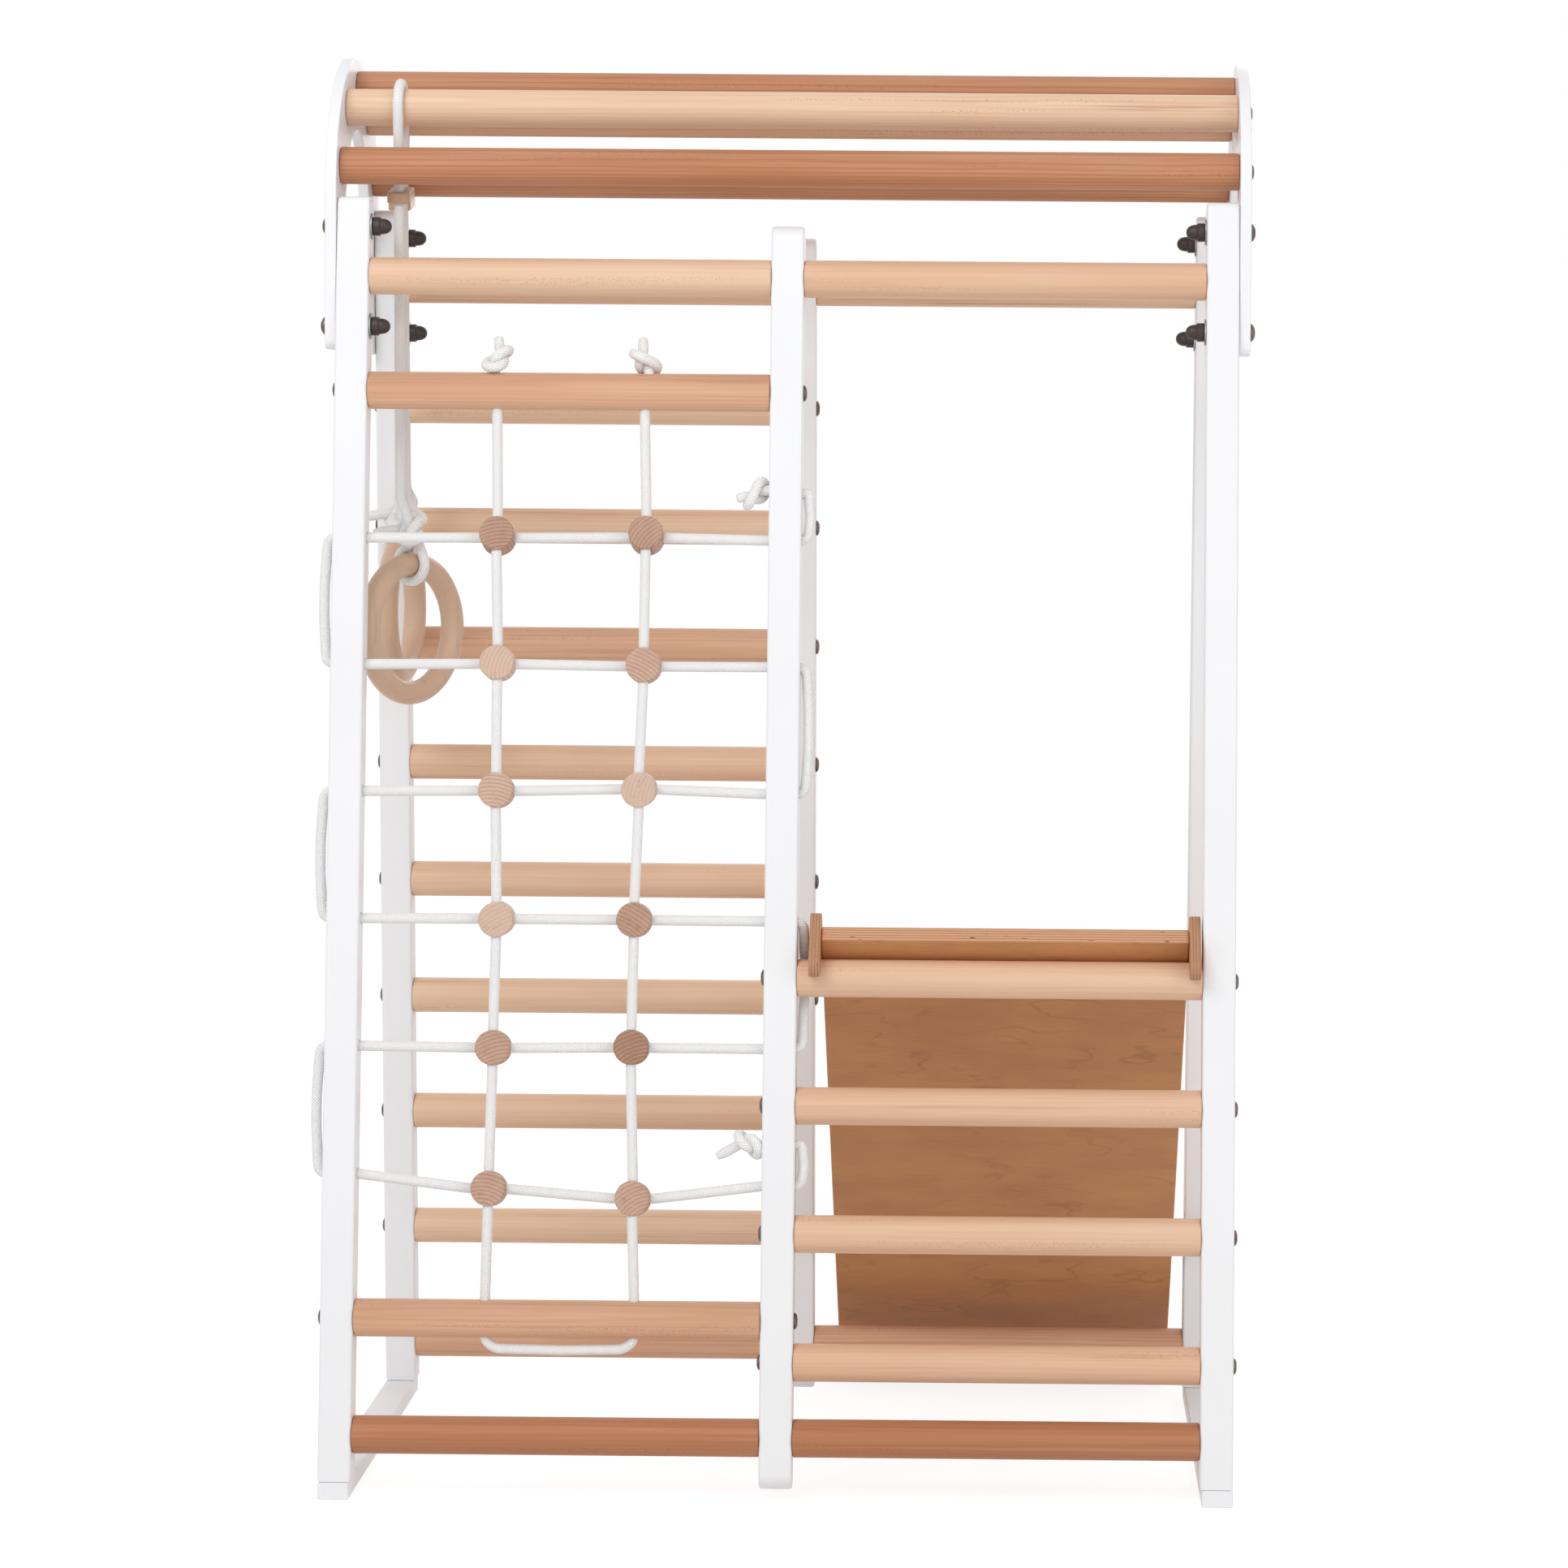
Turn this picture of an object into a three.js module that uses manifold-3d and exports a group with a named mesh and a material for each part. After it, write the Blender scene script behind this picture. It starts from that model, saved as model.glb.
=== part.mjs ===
// Indoor climbing frame for small children, in millimetres, +Z up, floor at z = 0.
// Three pairs of square posts lean in from a base and carry round rungs. The left bay has a rope net
// with wooden discs in front and a wall of bars behind. The right bay has a ladder in front, and a
// slide hooks on its top rung. Two arched plates carry five high rungs with a pair of rings.
// The net and the ladder face -Y, the slide runs down to +Y.
import * as THREE from "three";
import { mergeVertices } from "three/addons/utils/BufferGeometryUtils.js";
import Module from "manifold-3d";

const wasm = await Module();
wasm.setup();

// Fits
const seatGap = 0.3; // between pieces that touch
const boltClear = 0.4; // round a bolt in its hole
const ropeClear = 0.9; // round a rope in its hole
const overrun = 5; // how far a cut runs past the face that it opens

// Posts and base
const postSize = 35;
const postEase = 3;
const bay = 465; // from post centre to post centre
const footSpread = 512; // between the front and rear centre lines, on the floor
const headSpread = 271.23; // the same, at the tops of the outer posts
const outerPostTop = 1376;
const outerPostRound = 10;
const centrePostRise = 56; // from the top rungs' axis to the post's top
const centrePostDrop = 53; // from the low rungs' axis to the post's foot
const runnerThick = 18;
const runnerWidth = 33;
const runnerEase = 2;

// Rungs
const rungDia = 40;
const lowRungZ = 65;
const topRungDrop = 84; // from the outer posts' tops to the top rungs' axis
const netRungStep = 122.5; // from the low and top rungs to the net's own rungs
const treadCount = 4;
const treadDropShare = 0.4417; // each tread is this share of the net's pitch below a row
const barCount = 8;

// Studs that join the low and top rungs through the centre posts, and pin them in the outer ones
const studDia = 10;
const studGrip = 20; // how deep a stud sits in a rung or in an outer post

// Connector bolts
const boltShank = 6;
const boltGrip = 14;
const boltHead = 17.5;
const boltHeadHeight = 3.5;
const headCrownShare = 0.6;

// Arch plates and their bolts
const archThick = 12;
const archEase = 1.5;
const archEdgeOut = 20.17; // from a post's middle at the upper bolt to the plate's outer edge
const archEdgeIn = 22.33; // and to the inner edge of its leg
const archBand = 78.5; // from the plate's outer edge to the arc inside it
const archRise = 1; // from the outer posts' tops to the arch's centre
const archKneeDrop = 57; // from the centre to where the legs begin
const archCorner = 10;
const archRungEdge = 33.5; // from the plate's outer edge to its rungs' axes
const archRungRise = 34.035; // from the arch's centre to the axes of its outermost rungs
const archBoltShank = 8;
const archBoltFoot = 25; // from the leg's foot to the lower bolt
const archBoltDrop = 54; // from the top rungs' axis down to the lower bolts
const archBoltRise = 53; // and up to the upper ones
const archBoltHead = 20;
const archBoltHeadHeight = 5;
const washerDia = 28;
const washerThick = 1.5;
const nutDia = 20;
const nutCollar = 8;
const nutCap = 12;
const nutCapShare = 0.82;
const nutTipShare = 0.5;
const nutSlopeShare = 0.3;

// Slide
const slideFootOut = 133.1; // from the rear centre line to where the bed meets the floor
const slidePlay = 7.7; // between a hook and the post beside it
const slideThick = 18;
const slideEase = 2;
const slideShiftShare = 0.7143; // how far it sits off the middle of its bay, of its play
const slideOverhang = 40; // past the rung
const slideFootFlat = 15;
const railThick = 12;
const railHeight = 30;
const railStart = 60; // from the bed's upper end
const railEndGap = 25;
const railEase = 2;
const railRoundShare = 0.8; // of the rail's height, at the upper corners of its ends
const hookThick = 12;
const hookFront = 45; // ahead of the rung's axis
const hookRear = 25;
const hookTop = 58;
const hookDrop = 20;
const hookClear = 0.6;
const hookEase = 1.5;
const hookRound = 11;

// Net
const ropeDia = 11;
const firstRowDrop = 157.5; // from the net's top rung to its first row
const lastRowRise = 151; // from the net's low rung to its last row
const rowCount = 6;
const lastRowShare = 0.0705; // the last row's hole in the centre post is lower by this share of the pitch
const netEndShare = 0.3712; // from the first row's hole to the hole of the knot, of the pitch
const lastEndShare = 0.3267;
const columnShares = [0.656, 0.329]; // of the bay
const netHoleShares = [0.6667, 0.3269];
const discDia = 37;
const discWall = 1.8; // outside the bores
const discEase = 2;
const ropePassGap = 1.3; // between the crossing ropes, halved
const discXShares = [[-0.07, -0.01, 0, 0.06, 0.01, -0.06], [0.12, 0.09, 0, -0.09, -0.13, -0.04]];
const discZShares = [[0.07, 0.05, 0.04, 0, -0.03, -0.4], [0.11, 0.01, 0.1, 0.01, 0.01, -0.65]];
const discTilts = [[11, 4, 2, -2, 3, 5], [12, 3, -3, 2, 4, 6]]; // degrees
const ropeStandOff = 0.8;
const knotTurn = 8.5; // radius of the turn that a knot lays round its rope
const knotSlant = 20; // degrees
const knotTail = 20;

// Rings
const ringDia = 166;
const ringSection = 25;
const frontRingIn = 34.5; // from the left posts' inner faces to the ring's middle
const rearRingIn = 3.5;
const frontRopeIn = 22.5; // and to its rope, where this hangs over the arch
const rearRopeIn = 2.5;
const frontRingDrop = 565.7; // from the arch rung's axis to the ring's middle
const rearRingDrop = 550.7;
const ringTurns = [50, 76]; // degrees
const ringLoopGap = 0.8;
const strandSpread = 6;
const ringKnotRise = 32; // from the ring's top tube to the first turn of the knot
const ringKnotPitch = 13;
const ringKnotTurn = 10.5;
const ringKnotSlant = 14; // degrees
const stubLength = 36;
const stubRise = 9;
const adjusterDrop = 94.7; // from the arch rung's axis
const adjusterWidth = 25;
const adjusterLength = 52;
const adjusterThick = 12;
const adjusterHoles = 28; // between the two strands
const adjusterSlant = THREE.MathUtils.degToRad(11);
const adjusterEase = 1.5;
const adjusterRound = 9;
const adjusterReach = 16; // the strands run straight this far above and below the adjuster

// Facets
const rungSides = 18;
const boltSides = 8;
const holeSides = 8;
const ropeSides = 8;
const discSides = 14;
const bendSteps = 2;
const overSteps = 5; // where a rope lies over a rung
const endSteps = 3;
const archSteps = 20;
const notchSteps = 8;

const beech = new THREE.MeshStandardMaterial({ color: 0xd9b48f, roughness: 0.55, metalness: 0 });
const redBeech = new THREE.MeshStandardMaterial({ color: 0xb9855f, roughness: 0.55, metalness: 0 });
const paintedPost = new THREE.MeshStandardMaterial({ color: 0xf1f1f0, roughness: 0.5, metalness: 0 });
const ply = new THREE.MeshStandardMaterial({ color: 0xb07a52, roughness: 0.6, metalness: 0 });
const rope = new THREE.MeshStandardMaterial({ color: 0xf0eee9, roughness: 0.9, metalness: 0 });

const quarterTurn = Math.PI / 2;
const xAxis = new THREE.Vector3(1, 0, 0);
const yAxis = new THREE.Vector3(0, 1, 0);
const zAxis = new THREE.Vector3(0, 0, 1);
const sideways = new THREE.Matrix4().makeBasis(yAxis, zAxis, xAxis); // outline (y, z), thickness along x
const upright = new THREE.Matrix4().makeBasis(xAxis, zAxis, yAxis.clone().negate()); // axis along z
const alongX = new THREE.Matrix4().makeBasis(yAxis, xAxis, zAxis.clone().negate()); // axis along x

// Solids and their joins and cuts
function solidOf(geometry) {
  const bare = new THREE.BufferGeometry();
  bare.setAttribute("position", geometry.getAttribute("position"));
  bare.setIndex(geometry.index);
  const merged = mergeVertices(bare, 1e-4);
  const corners = merged.index.array;
  const faces = [];
  for (let i = 0; i < corners.length; i += 3) {
    const [a, b, c] = [corners[i], corners[i + 1], corners[i + 2]];
    if (a !== b && b !== c && c !== a) faces.push(a, b, c);
  }
  return new wasm.Manifold(new wasm.Mesh({
    numProp: 3,
    vertProperties: merged.getAttribute("position").array,
    triVerts: new Uint32Array(faces),
  }));
}

function geometryOf(solid) {
  const { vertProperties, triVerts } = solid.getMesh();
  const geometry = new THREE.BufferGeometry();
  geometry.setAttribute("position", new THREE.BufferAttribute(vertProperties, 3));
  geometry.setIndex(new THREE.BufferAttribute(triVerts, 1));
  geometry.computeVertexNormals();
  return geometry;
}

const joined = (solids) => solids.reduce((whole, solid) => whole.add(solid));
// The outer skin alone, so that a knot keeps no hollow between its turns
const filled = (solid) => solid.decompose().reduce((a, b) => (a.volume() > b.volume() ? a : b));
const cut = (solid, tools) => tools.reduce((rest, tool) => rest.subtract(tool), solid);

function rodX(dia, from, to, y, z, sides) {
  const rod = new THREE.CylinderGeometry(dia / 2, dia / 2, to - from, sides);
  return solidOf(rod.applyMatrix4(alongX).translate((from + to) / 2, y, z));
}

function rodZ(dia, from, to, x, y, sides) {
  const rod = new THREE.CylinderGeometry(dia / 2, dia / 2, to - from, sides);
  return solidOf(rod.applyMatrix4(upright).translate(x, y, (from + to) / 2));
}

// A profile of [radius, distance] pairs turned round the x axis, distances counted towards `way`
function turnedX(profile, x, y, z, way, sides) {
  const points = profile.map(([radius, distance]) => new THREE.Vector2(radius, distance));
  const body = new THREE.LatheGeometry(points, sides).applyMatrix4(alongX);
  if (way < 0) body.rotateZ(Math.PI);
  return solidOf(body.translate(x, y, z));
}

// An outline with a thickness and eased edges, centred on its plane
function board(outline, thick, ease, basis) {
  const body = new THREE.ExtrudeGeometry(outline, {
    depth: thick - 2 * ease, bevelThickness: ease, bevelSize: ease, bevelOffset: -ease, bevelSegments: 1,
  });
  return body.translate(0, 0, -thick / 2 + ease).applyMatrix4(basis);
}

// Points along an arc, from one angle to another in quarter turns, or its centre where the radius is zero
function arc(x, y, radius, from, to, steps) {
  return Array.from({ length: radius > 0 ? steps + 1 : 1 }, (_, i) => {
    const angle = quarterTurn * (from + (to - from) * i / steps);
    return new THREE.Vector2(x + radius * Math.cos(angle), y + radius * Math.sin(angle));
  });
}

// A rectangle from (x0, y0) to (x1, y1) whose lower and upper corners have a radius each
function roundedBar(x0, y0, x1, y1, low, high, steps) {
  return new THREE.Shape([
    ...arc(x0 + low, y0 + low, low, 2, 3, steps), ...arc(x1 - low, y0 + low, low, 3, 4, steps),
    ...arc(x1 - high, y1 - high, high, 0, 1, steps), ...arc(x0 + high, y1 - high, high, 1, 2, steps),
  ]);
}

// A route that is followed point by point
class Route extends THREE.Curve {
  constructor(points) {
    super();
    this.points = points;
  }

  getUtoTmapping(u) {
    return u;
  }

  getPoint(t) {
    return this.points[Math.round(t * (this.points.length - 1))].clone();
  }

  getTangent(t) {
    const i = Math.round(t * (this.points.length - 1));
    const before = this.points[Math.max(i - 1, 0)];
    const after = this.points[Math.min(i + 1, this.points.length - 1)];
    const here = this.points[i];
    const arriving = here.clone().sub(before).normalize();
    const leaving = after.clone().sub(here).normalize();
    return arriving.add(leaving).normalize();
  }
}

// The corners of a route rounded to a radius, except slight bends
function bent(corners, radius, steps = bendSteps) {
  const points = [corners[0]];
  for (let i = 1; i < corners.length - 1; i += 1) {
    const arriving = corners[i].clone().sub(corners[i - 1]).normalize();
    const leaving = corners[i + 1].clone().sub(corners[i]).normalize();
    const turn = arriving.angleTo(leaving);
    if (turn < Math.PI / 5) {
      points.push(corners[i]);
      continue;
    }
    const inward = leaving.clone().sub(arriving).normalize();
    const centre = corners[i].clone().addScaledVector(inward, radius / Math.cos(turn / 2));
    const start = corners[i].clone().addScaledVector(arriving, -radius * Math.tan(turn / 2)).sub(centre);
    const end = corners[i].clone().addScaledVector(leaving, radius * Math.tan(turn / 2)).sub(centre);
    for (let k = 0; k <= steps; k += 1) {
      const part = k / steps;
      points.push(centre.clone()
        .addScaledVector(start, Math.sin((1 - part) * turn) / Math.sin(turn))
        .addScaledVector(end, Math.sin(part * turn) / Math.sin(turn)));
    }
  }
  points.push(corners[corners.length - 1]);
  return points;
}

function ropeAlong(points) {
  const section = new THREE.Shape(Array.from({ length: ropeSides }, (_, i) => {
    const angle = 2 * Math.PI * i / ropeSides;
    return new THREE.Vector2(ropeDia / 2 * Math.cos(angle), ropeDia / 2 * Math.sin(angle));
  }));
  const path = new Route(points);
  return solidOf(new THREE.ExtrudeGeometry(section, { steps: points.length - 1, extrudePath: path }));
}

// One slanted turn of rope round an axis through a point
function knotTurnRound(point, axis, radius, slant) {
  const turn = new THREE.TorusGeometry(radius, ropeDia / 2, 6, 10);
  turn.rotateX(THREE.MathUtils.degToRad(slant));
  turn.applyQuaternion(new THREE.Quaternion().setFromUnitVectors(zAxis, axis));
  return solidOf(turn.translate(point.x, point.y, point.z));
}

const vec = (x, y, z) => new THREE.Vector3(x, y, z);

// The two leaning frames: in each, z runs up the posts from the floor and y = 0 is their middle
const lean = Math.atan((footSpread - headSpread) / 2 / outerPostTop);
const frame = new THREE.Group();
frame.name = "climbing_frame";
const leaning = {};
for (const [name, side] of [["front", -1], ["rear", 1]]) {
  leaning[name] = new THREE.Group();
  leaning[name].position.set(0, side * footSpread / 2, 0);
  leaning[name].rotation.x = side * lean;
  frame.add(leaning[name]);
}
const along = (z) => z / Math.cos(lean); // a height turned into a distance up a post
const postY = (z) => footSpread / 2 - Math.tan(lean) * z; // a rear post's middle at a height

function place(name, solid, material, parent = frame, position = vec(0, 0, 0), rotation = vec(0, 0, 0)) {
  const mesh = new THREE.Mesh(geometryOf(solid), material.clone());
  mesh.name = name;
  mesh.position.copy(position);
  mesh.rotation.set(rotation.x, rotation.y, rotation.z);
  parent.add(mesh);
}

// Heights
const topRungZ = outerPostTop - topRungDrop;
const netLowZ = lowRungZ + netRungStep;
const netTopZ = topRungZ - netRungStep;
const rowTopZ = netTopZ - firstRowDrop;
const rowPitch = (rowTopZ - netLowZ - lastRowRise) / (rowCount - 1);
const barsZ = Array.from({ length: barCount },
  (_, i) => lowRungZ + (topRungZ - lowRungZ) * (i + 1) / (barCount + 1));
const rowsZ = Array.from({ length: rowCount }, (_, i) => rowTopZ - rowPitch * i);
const lastRowZ = rowsZ[rowCount - 1] - rowPitch * lastRowShare;
const treadsZ = Array.from({ length: treadCount },
  (_, i) => rowTopZ - rowPitch * (rowCount - i + treadDropShare));
const slideRungZ = treadsZ[treadCount - 1];
const archBoltsZ = [topRungZ - archBoltDrop, topRungZ + archBoltRise];
const archCentreZ = outerPostTop + archRise;
const postHalf = postSize / 2;
const innerFace = bay - postHalf;
const outerFace = bay + postHalf;
const columnsX = columnShares.map((share) => -bay * share);
const netHolesX = netHoleShares.map((share) => -bay * share);

// Posts, with ends that are round seen from the side
function postBody(foot, top, footRound, topRound) {
  const outline = roundedBar(-postHalf, along(foot), postHalf, along(top), footRound, topRound, endSteps);
  return solidOf(board(outline, postSize, postEase, sideways));
}

function outerPost(side) {
  const post = postBody(0, outerPostTop, 0, outerPostRound);
  const floorCut = new THREE.BoxGeometry(postSize * 2, postSize * 2, postSize);
  floorCut.translate(0, 0, runnerThick + seatGap - postSize / 2);
  return cut(post, [solidOf(floorCut.rotateX(-side * lean))]);
}

const boltHole = (z, dia = boltShank) =>
  rodX(dia + 2 * boltClear, -postHalf - overrun, postHalf + overrun, 0, along(z), boltSides);
const ropeHole = (z) =>
  rodX(ropeDia + 2 * ropeClear, -postHalf - overrun, postHalf + overrun, 0, along(z), holeSides);
const studHole = (z, from, to) => rodX(studDia + 2 * boltClear, from, to, 0, along(z), boltSides);
const archHoles = archBoltsZ.map((z) => boltHole(z, archBoltShank));

// The blind sockets of the studs, on the side of the post that faces the middle
function sockets(way) {
  const [from, to] = [postHalf - studGrip, postHalf + overrun].map((x) => x * way).sort((a, b) => a - b);
  return [studHole(lowRungZ, from, to), studHole(topRungZ, from, to)];
}

const throughBores = [lowRungZ, topRungZ].map((z) => studHole(z, -postHalf - overrun, postHalf + overrun));
const netBolts = [netLowZ, netTopZ].map((z) => boltHole(z));
const treadBolts = treadsZ.map((z) => boltHole(z));
const barBolts = barsZ.map((z) => boltHole(z));
const knotHolesZ = [rowsZ[0] + rowPitch * netEndShare, lastRowZ + rowPitch * lastEndShare];
const centreRowsZ = [...rowsZ.slice(0, -1), lastRowZ];

const posts = [
  ["front_post_left", "front", -bay, [...sockets(1), ...archHoles, ...netBolts, ...rowsZ.map(ropeHole)]],
  ["front_post_right", "front", bay, [...sockets(-1), ...archHoles, ...treadBolts]],
  ["rear_post_left", "rear", -bay, [...sockets(1), ...archHoles, ...barBolts]],
  ["rear_post_right", "rear", bay, [...sockets(-1), ...archHoles]],
];
for (const [name, where, x, holes] of posts) {
  const side = where === "front" ? -1 : 1;
  place(name, cut(outerPost(side), holes), paintedPost, leaning[where], vec(x, 0, 0));
}
const centrePost = postBody(lowRungZ - centrePostDrop, topRungZ + centrePostRise, postHalf, postHalf);
const centreRopeHoles = [...centreRowsZ, ...knotHolesZ].map(ropeHole);
place("front_post_centre", cut(centrePost, [...throughBores, ...netBolts, ...treadBolts, ...centreRopeHoles]),
  paintedPost, leaning.front);
place("rear_post_centre", cut(centrePost, [...throughBores, ...barBolts]), paintedPost, leaning.rear);

// Base runners, flush with the outer faces of the posts where these stand on them
const runnerHalf = postY(runnerThick) + postHalf / Math.cos(lean);
for (const [name, side] of [["left", -1], ["right", 1]]) {
  const outline = roundedBar(-runnerHalf, 0, runnerHalf, runnerThick, 0, 0, 1);
  place(`base_runner_${name}`, solidOf(board(outline, runnerWidth, runnerEase, sideways)), paintedPost,
    frame, vec(side * (outerFace - runnerWidth / 2), 0, 0));
}

// Low and top rungs: one in each bay, joined by a stud through the centre post and pinned in the outer ones
const rungPair = joined([
  rodX(rungDia, -innerFace + seatGap, -postHalf - seatGap, 0, 0, rungSides),
  rodX(rungDia, postHalf + seatGap, innerFace - seatGap, 0, 0, rungSides),
  rodX(studDia, -postHalf - studGrip, postHalf + studGrip, 0, 0, boltSides),
  rodX(studDia, -innerFace - studGrip + seatGap, -innerFace + studGrip, 0, 0, boltSides),
  rodX(studDia, innerFace - studGrip, innerFace + studGrip - seatGap, 0, 0, boltSides),
]);
for (const where of ["front", "rear"]) {
  for (const [name, z] of [["low", lowRungZ], ["top", topRungZ]]) {
    place(`${where}_${name}_rungs`, rungPair, name === "low" ? redBeech : beech, leaning[where],
      vec(0, 0, along(z)));
  }
}

// A rung between two faces, held at each end by a bolt through what it butts against
function boltedRung(span, through) {
  const half = span / 2 - seatGap;
  const head = half + 2 * seatGap + through;
  const profile = [
    [0, half - boltGrip], [boltShank / 2, half - boltGrip], [boltShank / 2, head], [boltHead / 2, head],
    [boltHead / 2 * headCrownShare, head + boltHeadHeight], [0, head + boltHeadHeight],
  ];
  const bolts = [-1, 1].map((way) => turnedX(profile, 0, 0, 0, way, boltSides));
  return joined([rodX(rungDia, -half, half, 0, 0, rungSides), ...bolts]);
}

const bayRung = boltedRung(bay - postSize, postSize);
const netHoles = netHolesX.map((x) =>
  rodZ(ropeDia + 2 * ropeClear, -rungDia / 2 - overrun, rungDia / 2 + overrun, x + bay / 2, 0, holeSides));
const netRung = cut(bayRung, netHoles);
place("net_top_rung", netRung, beech, leaning.front, vec(-bay / 2, 0, along(netTopZ)));
place("net_low_rung", netRung, beech, leaning.front, vec(-bay / 2, 0, along(netLowZ)));
treadsZ.forEach((z, i) =>
  place(`ladder_rung_${i + 1}`, bayRung, beech, leaning.front, vec(bay / 2, 0, along(z))));
barsZ.forEach((z, i) => place(`wall_bar_${i + 1}`, bayRung, beech, leaning.rear, vec(-bay / 2, 0, along(z))));

// Arch plates
const plateInner = outerFace + seatGap;
const plateOuter = plateInner + archThick;
const archOuter = postY(archBoltsZ[1]) + archEdgeOut;
const archInner = archOuter - archBand;
const archLegInner = postY(archBoltsZ[1]) - archEdgeIn;
const archRungCircle = archOuter - archRungEdge;
const archRungStep = Math.acos(archRungRise / archRungCircle) / 2;
const archRungs = [-2, -1, 0, 1, 2].map((step) =>
  vec(0, archRungCircle * Math.sin(archRungStep * step), archCentreZ + archRungCircle * Math.cos(archRungStep * step)));

function archOutline() {
  const knee = (Math.atan2(-archKneeDrop, archLegInner)
    + Math.acos(archInner / Math.hypot(archKneeDrop, archLegInner))) / quarterTurn;
  const foot = archBoltsZ[0] - archBoltFoot - archCentreZ;
  const corner = archOuter - archCorner;
  return new THREE.Shape([
    new THREE.Vector2(archLegInner, foot), ...arc(corner, foot + archCorner, archCorner, 3, 4, endSteps),
    ...arc(0, 0, archOuter, 0, 2, archSteps),
    ...arc(-corner, foot + archCorner, archCorner, 2, 3, endSteps), new THREE.Vector2(-archLegInner, foot),
    new THREE.Vector2(-archLegInner, -archKneeDrop), ...arc(0, 0, archInner, 2 - knee, knee, archSteps / 2),
    new THREE.Vector2(archLegInner, -archKneeDrop),
  ]);
}

// A plate's bolt: a domed head outside, then the shank, the washer and the cap nut behind the post.
// Distances run inwards from the plate's outer face
function archBolt(y, z) {
  const washer = archThick + seatGap + postSize + seatGap;
  const nut = washer + washerThick;
  const cap = nut + nutCollar;
  const profile = [
    [0, -archBoltHeadHeight], [archBoltHead / 2 * headCrownShare, -archBoltHeadHeight],
    [archBoltHead / 2, archEase], [archBoltShank / 2, archEase], [archBoltShank / 2, washer], [washerDia / 2, washer],
    [washerDia / 2, nut], [nutDia / 2, nut], [nutDia / 2, cap], [nutDia / 2 * nutCapShare, cap],
    [nutDia / 2 * nutCapShare, cap + nutCap * (1 - nutSlopeShare)],
    [nutDia / 2 * nutTipShare, cap + nutCap], [0, cap + nutCap],
  ];
  return turnedX(profile, -plateOuter, y, z, 1, holeSides);
}

const plateMiddle = (plateInner + plateOuter) / 2;
const plateBody = solidOf(board(archOutline(), archThick, archEase, sideways)
  .translate(-plateMiddle, 0, archCentreZ));
const plateHoles = archRungs.map(({ y, z }) =>
  rodX(boltShank + 2 * boltClear, -plateOuter - overrun, -plateInner + overrun, y, z, boltSides));
const plateBolts = archBoltsZ.flatMap((z) => [-1, 1].map((side) => archBolt(side * postY(z), z)));
const plate = joined([cut(plateBody, plateHoles), ...plateBolts]);
place("arch_plate_left", plate, paintedPost);
place("arch_plate_right", plate, paintedPost, frame, vec(0, 0, 0), vec(0, 0, Math.PI));

const archRung = boltedRung(2 * plateInner, archThick);
archRungs.forEach((at, i) => place(`arch_rung_${i + 1}`, archRung, redBeech, frame, at));

// Slide: its frame has its origin on the rung's axis, y down the slope and z square to the bed
const bedUnder = rungDia / 2 + seatGap;
const bedTop = bedUnder + slideThick;
const slideRun = postY(slideRungZ) + footSpread / 2 + slideFootOut;
const slideSlope = Math.atan2(slideRungZ, slideRun) + Math.asin(bedUnder / Math.hypot(slideRungZ, slideRun));
const slideWidth = bay - postSize - 2 * (hookThick + seatGap + slidePlay);
const slide = new THREE.Group();
slide.position.set(bay / 2 + slidePlay * slideShiftShare, -postY(slideRungZ), slideRungZ);
slide.rotation.x = -slideSlope;
frame.add(slide);
const bedFloor = (slideRungZ + Math.cos(slideSlope) * bedUnder) / Math.sin(slideSlope);
const bedEnd = bedFloor + slideFootFlat * Math.cos(slideSlope);

const bedOutline = new THREE.Shape();
bedOutline.moveTo(-slideOverhang, bedUnder).lineTo(bedFloor, bedUnder);
bedOutline.lineTo(bedEnd, bedUnder + slideFootFlat * Math.sin(slideSlope));
bedOutline.lineTo(bedEnd, bedTop).lineTo(-slideOverhang, bedTop);
place("slide_bed", solidOf(board(bedOutline, slideWidth, slideEase, sideways)), ply, slide);

const railFrom = railStart - slideOverhang;
const railOutline = roundedBar(railFrom, bedTop + seatGap, bedEnd - railEndGap,
  bedTop + seatGap + railHeight, 0, railHeight * railRoundShare, endSteps);
const rail = solidOf(board(railOutline, railThick, railEase, sideways));

// A cheek with a nose that hangs over the rung, its notch concentric with the rung
function hookOutline() {
  const notch = rungDia / 2 + hookClear;
  const noseMiddle = (hookFront + notch) / 2;
  const noseHalf = (hookFront - notch) / 2;
  return new THREE.Shape([
    ...arc(0, 0, notch, 2, 1, notchSteps), new THREE.Vector2(hookRear, notch),
    ...arc(hookRear - hookRound, hookTop - hookRound, hookRound, 0, 1, endSteps),
    ...arc(-hookFront + hookRound, hookTop - hookRound, hookRound, 1, 2, endSteps),
    ...arc(-noseMiddle, -hookDrop + noseHalf, noseHalf, 2, 4, endSteps * 2),
  ]);
}
const hook = solidOf(board(hookOutline(), hookThick, hookEase, sideways));
for (const [name, side] of [["left", -1], ["right", 1]]) {
  place(`slide_side_rail_${name}`, rail, ply, slide, vec(side * (slideWidth / 2 - railThick / 2), 0, 0));
  const hookX = side * (slideWidth / 2 + seatGap + hookThick / 2);
  place(`slide_hook_${name}`, hook, ply, slide, vec(hookX, 0, 0));
}

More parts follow.
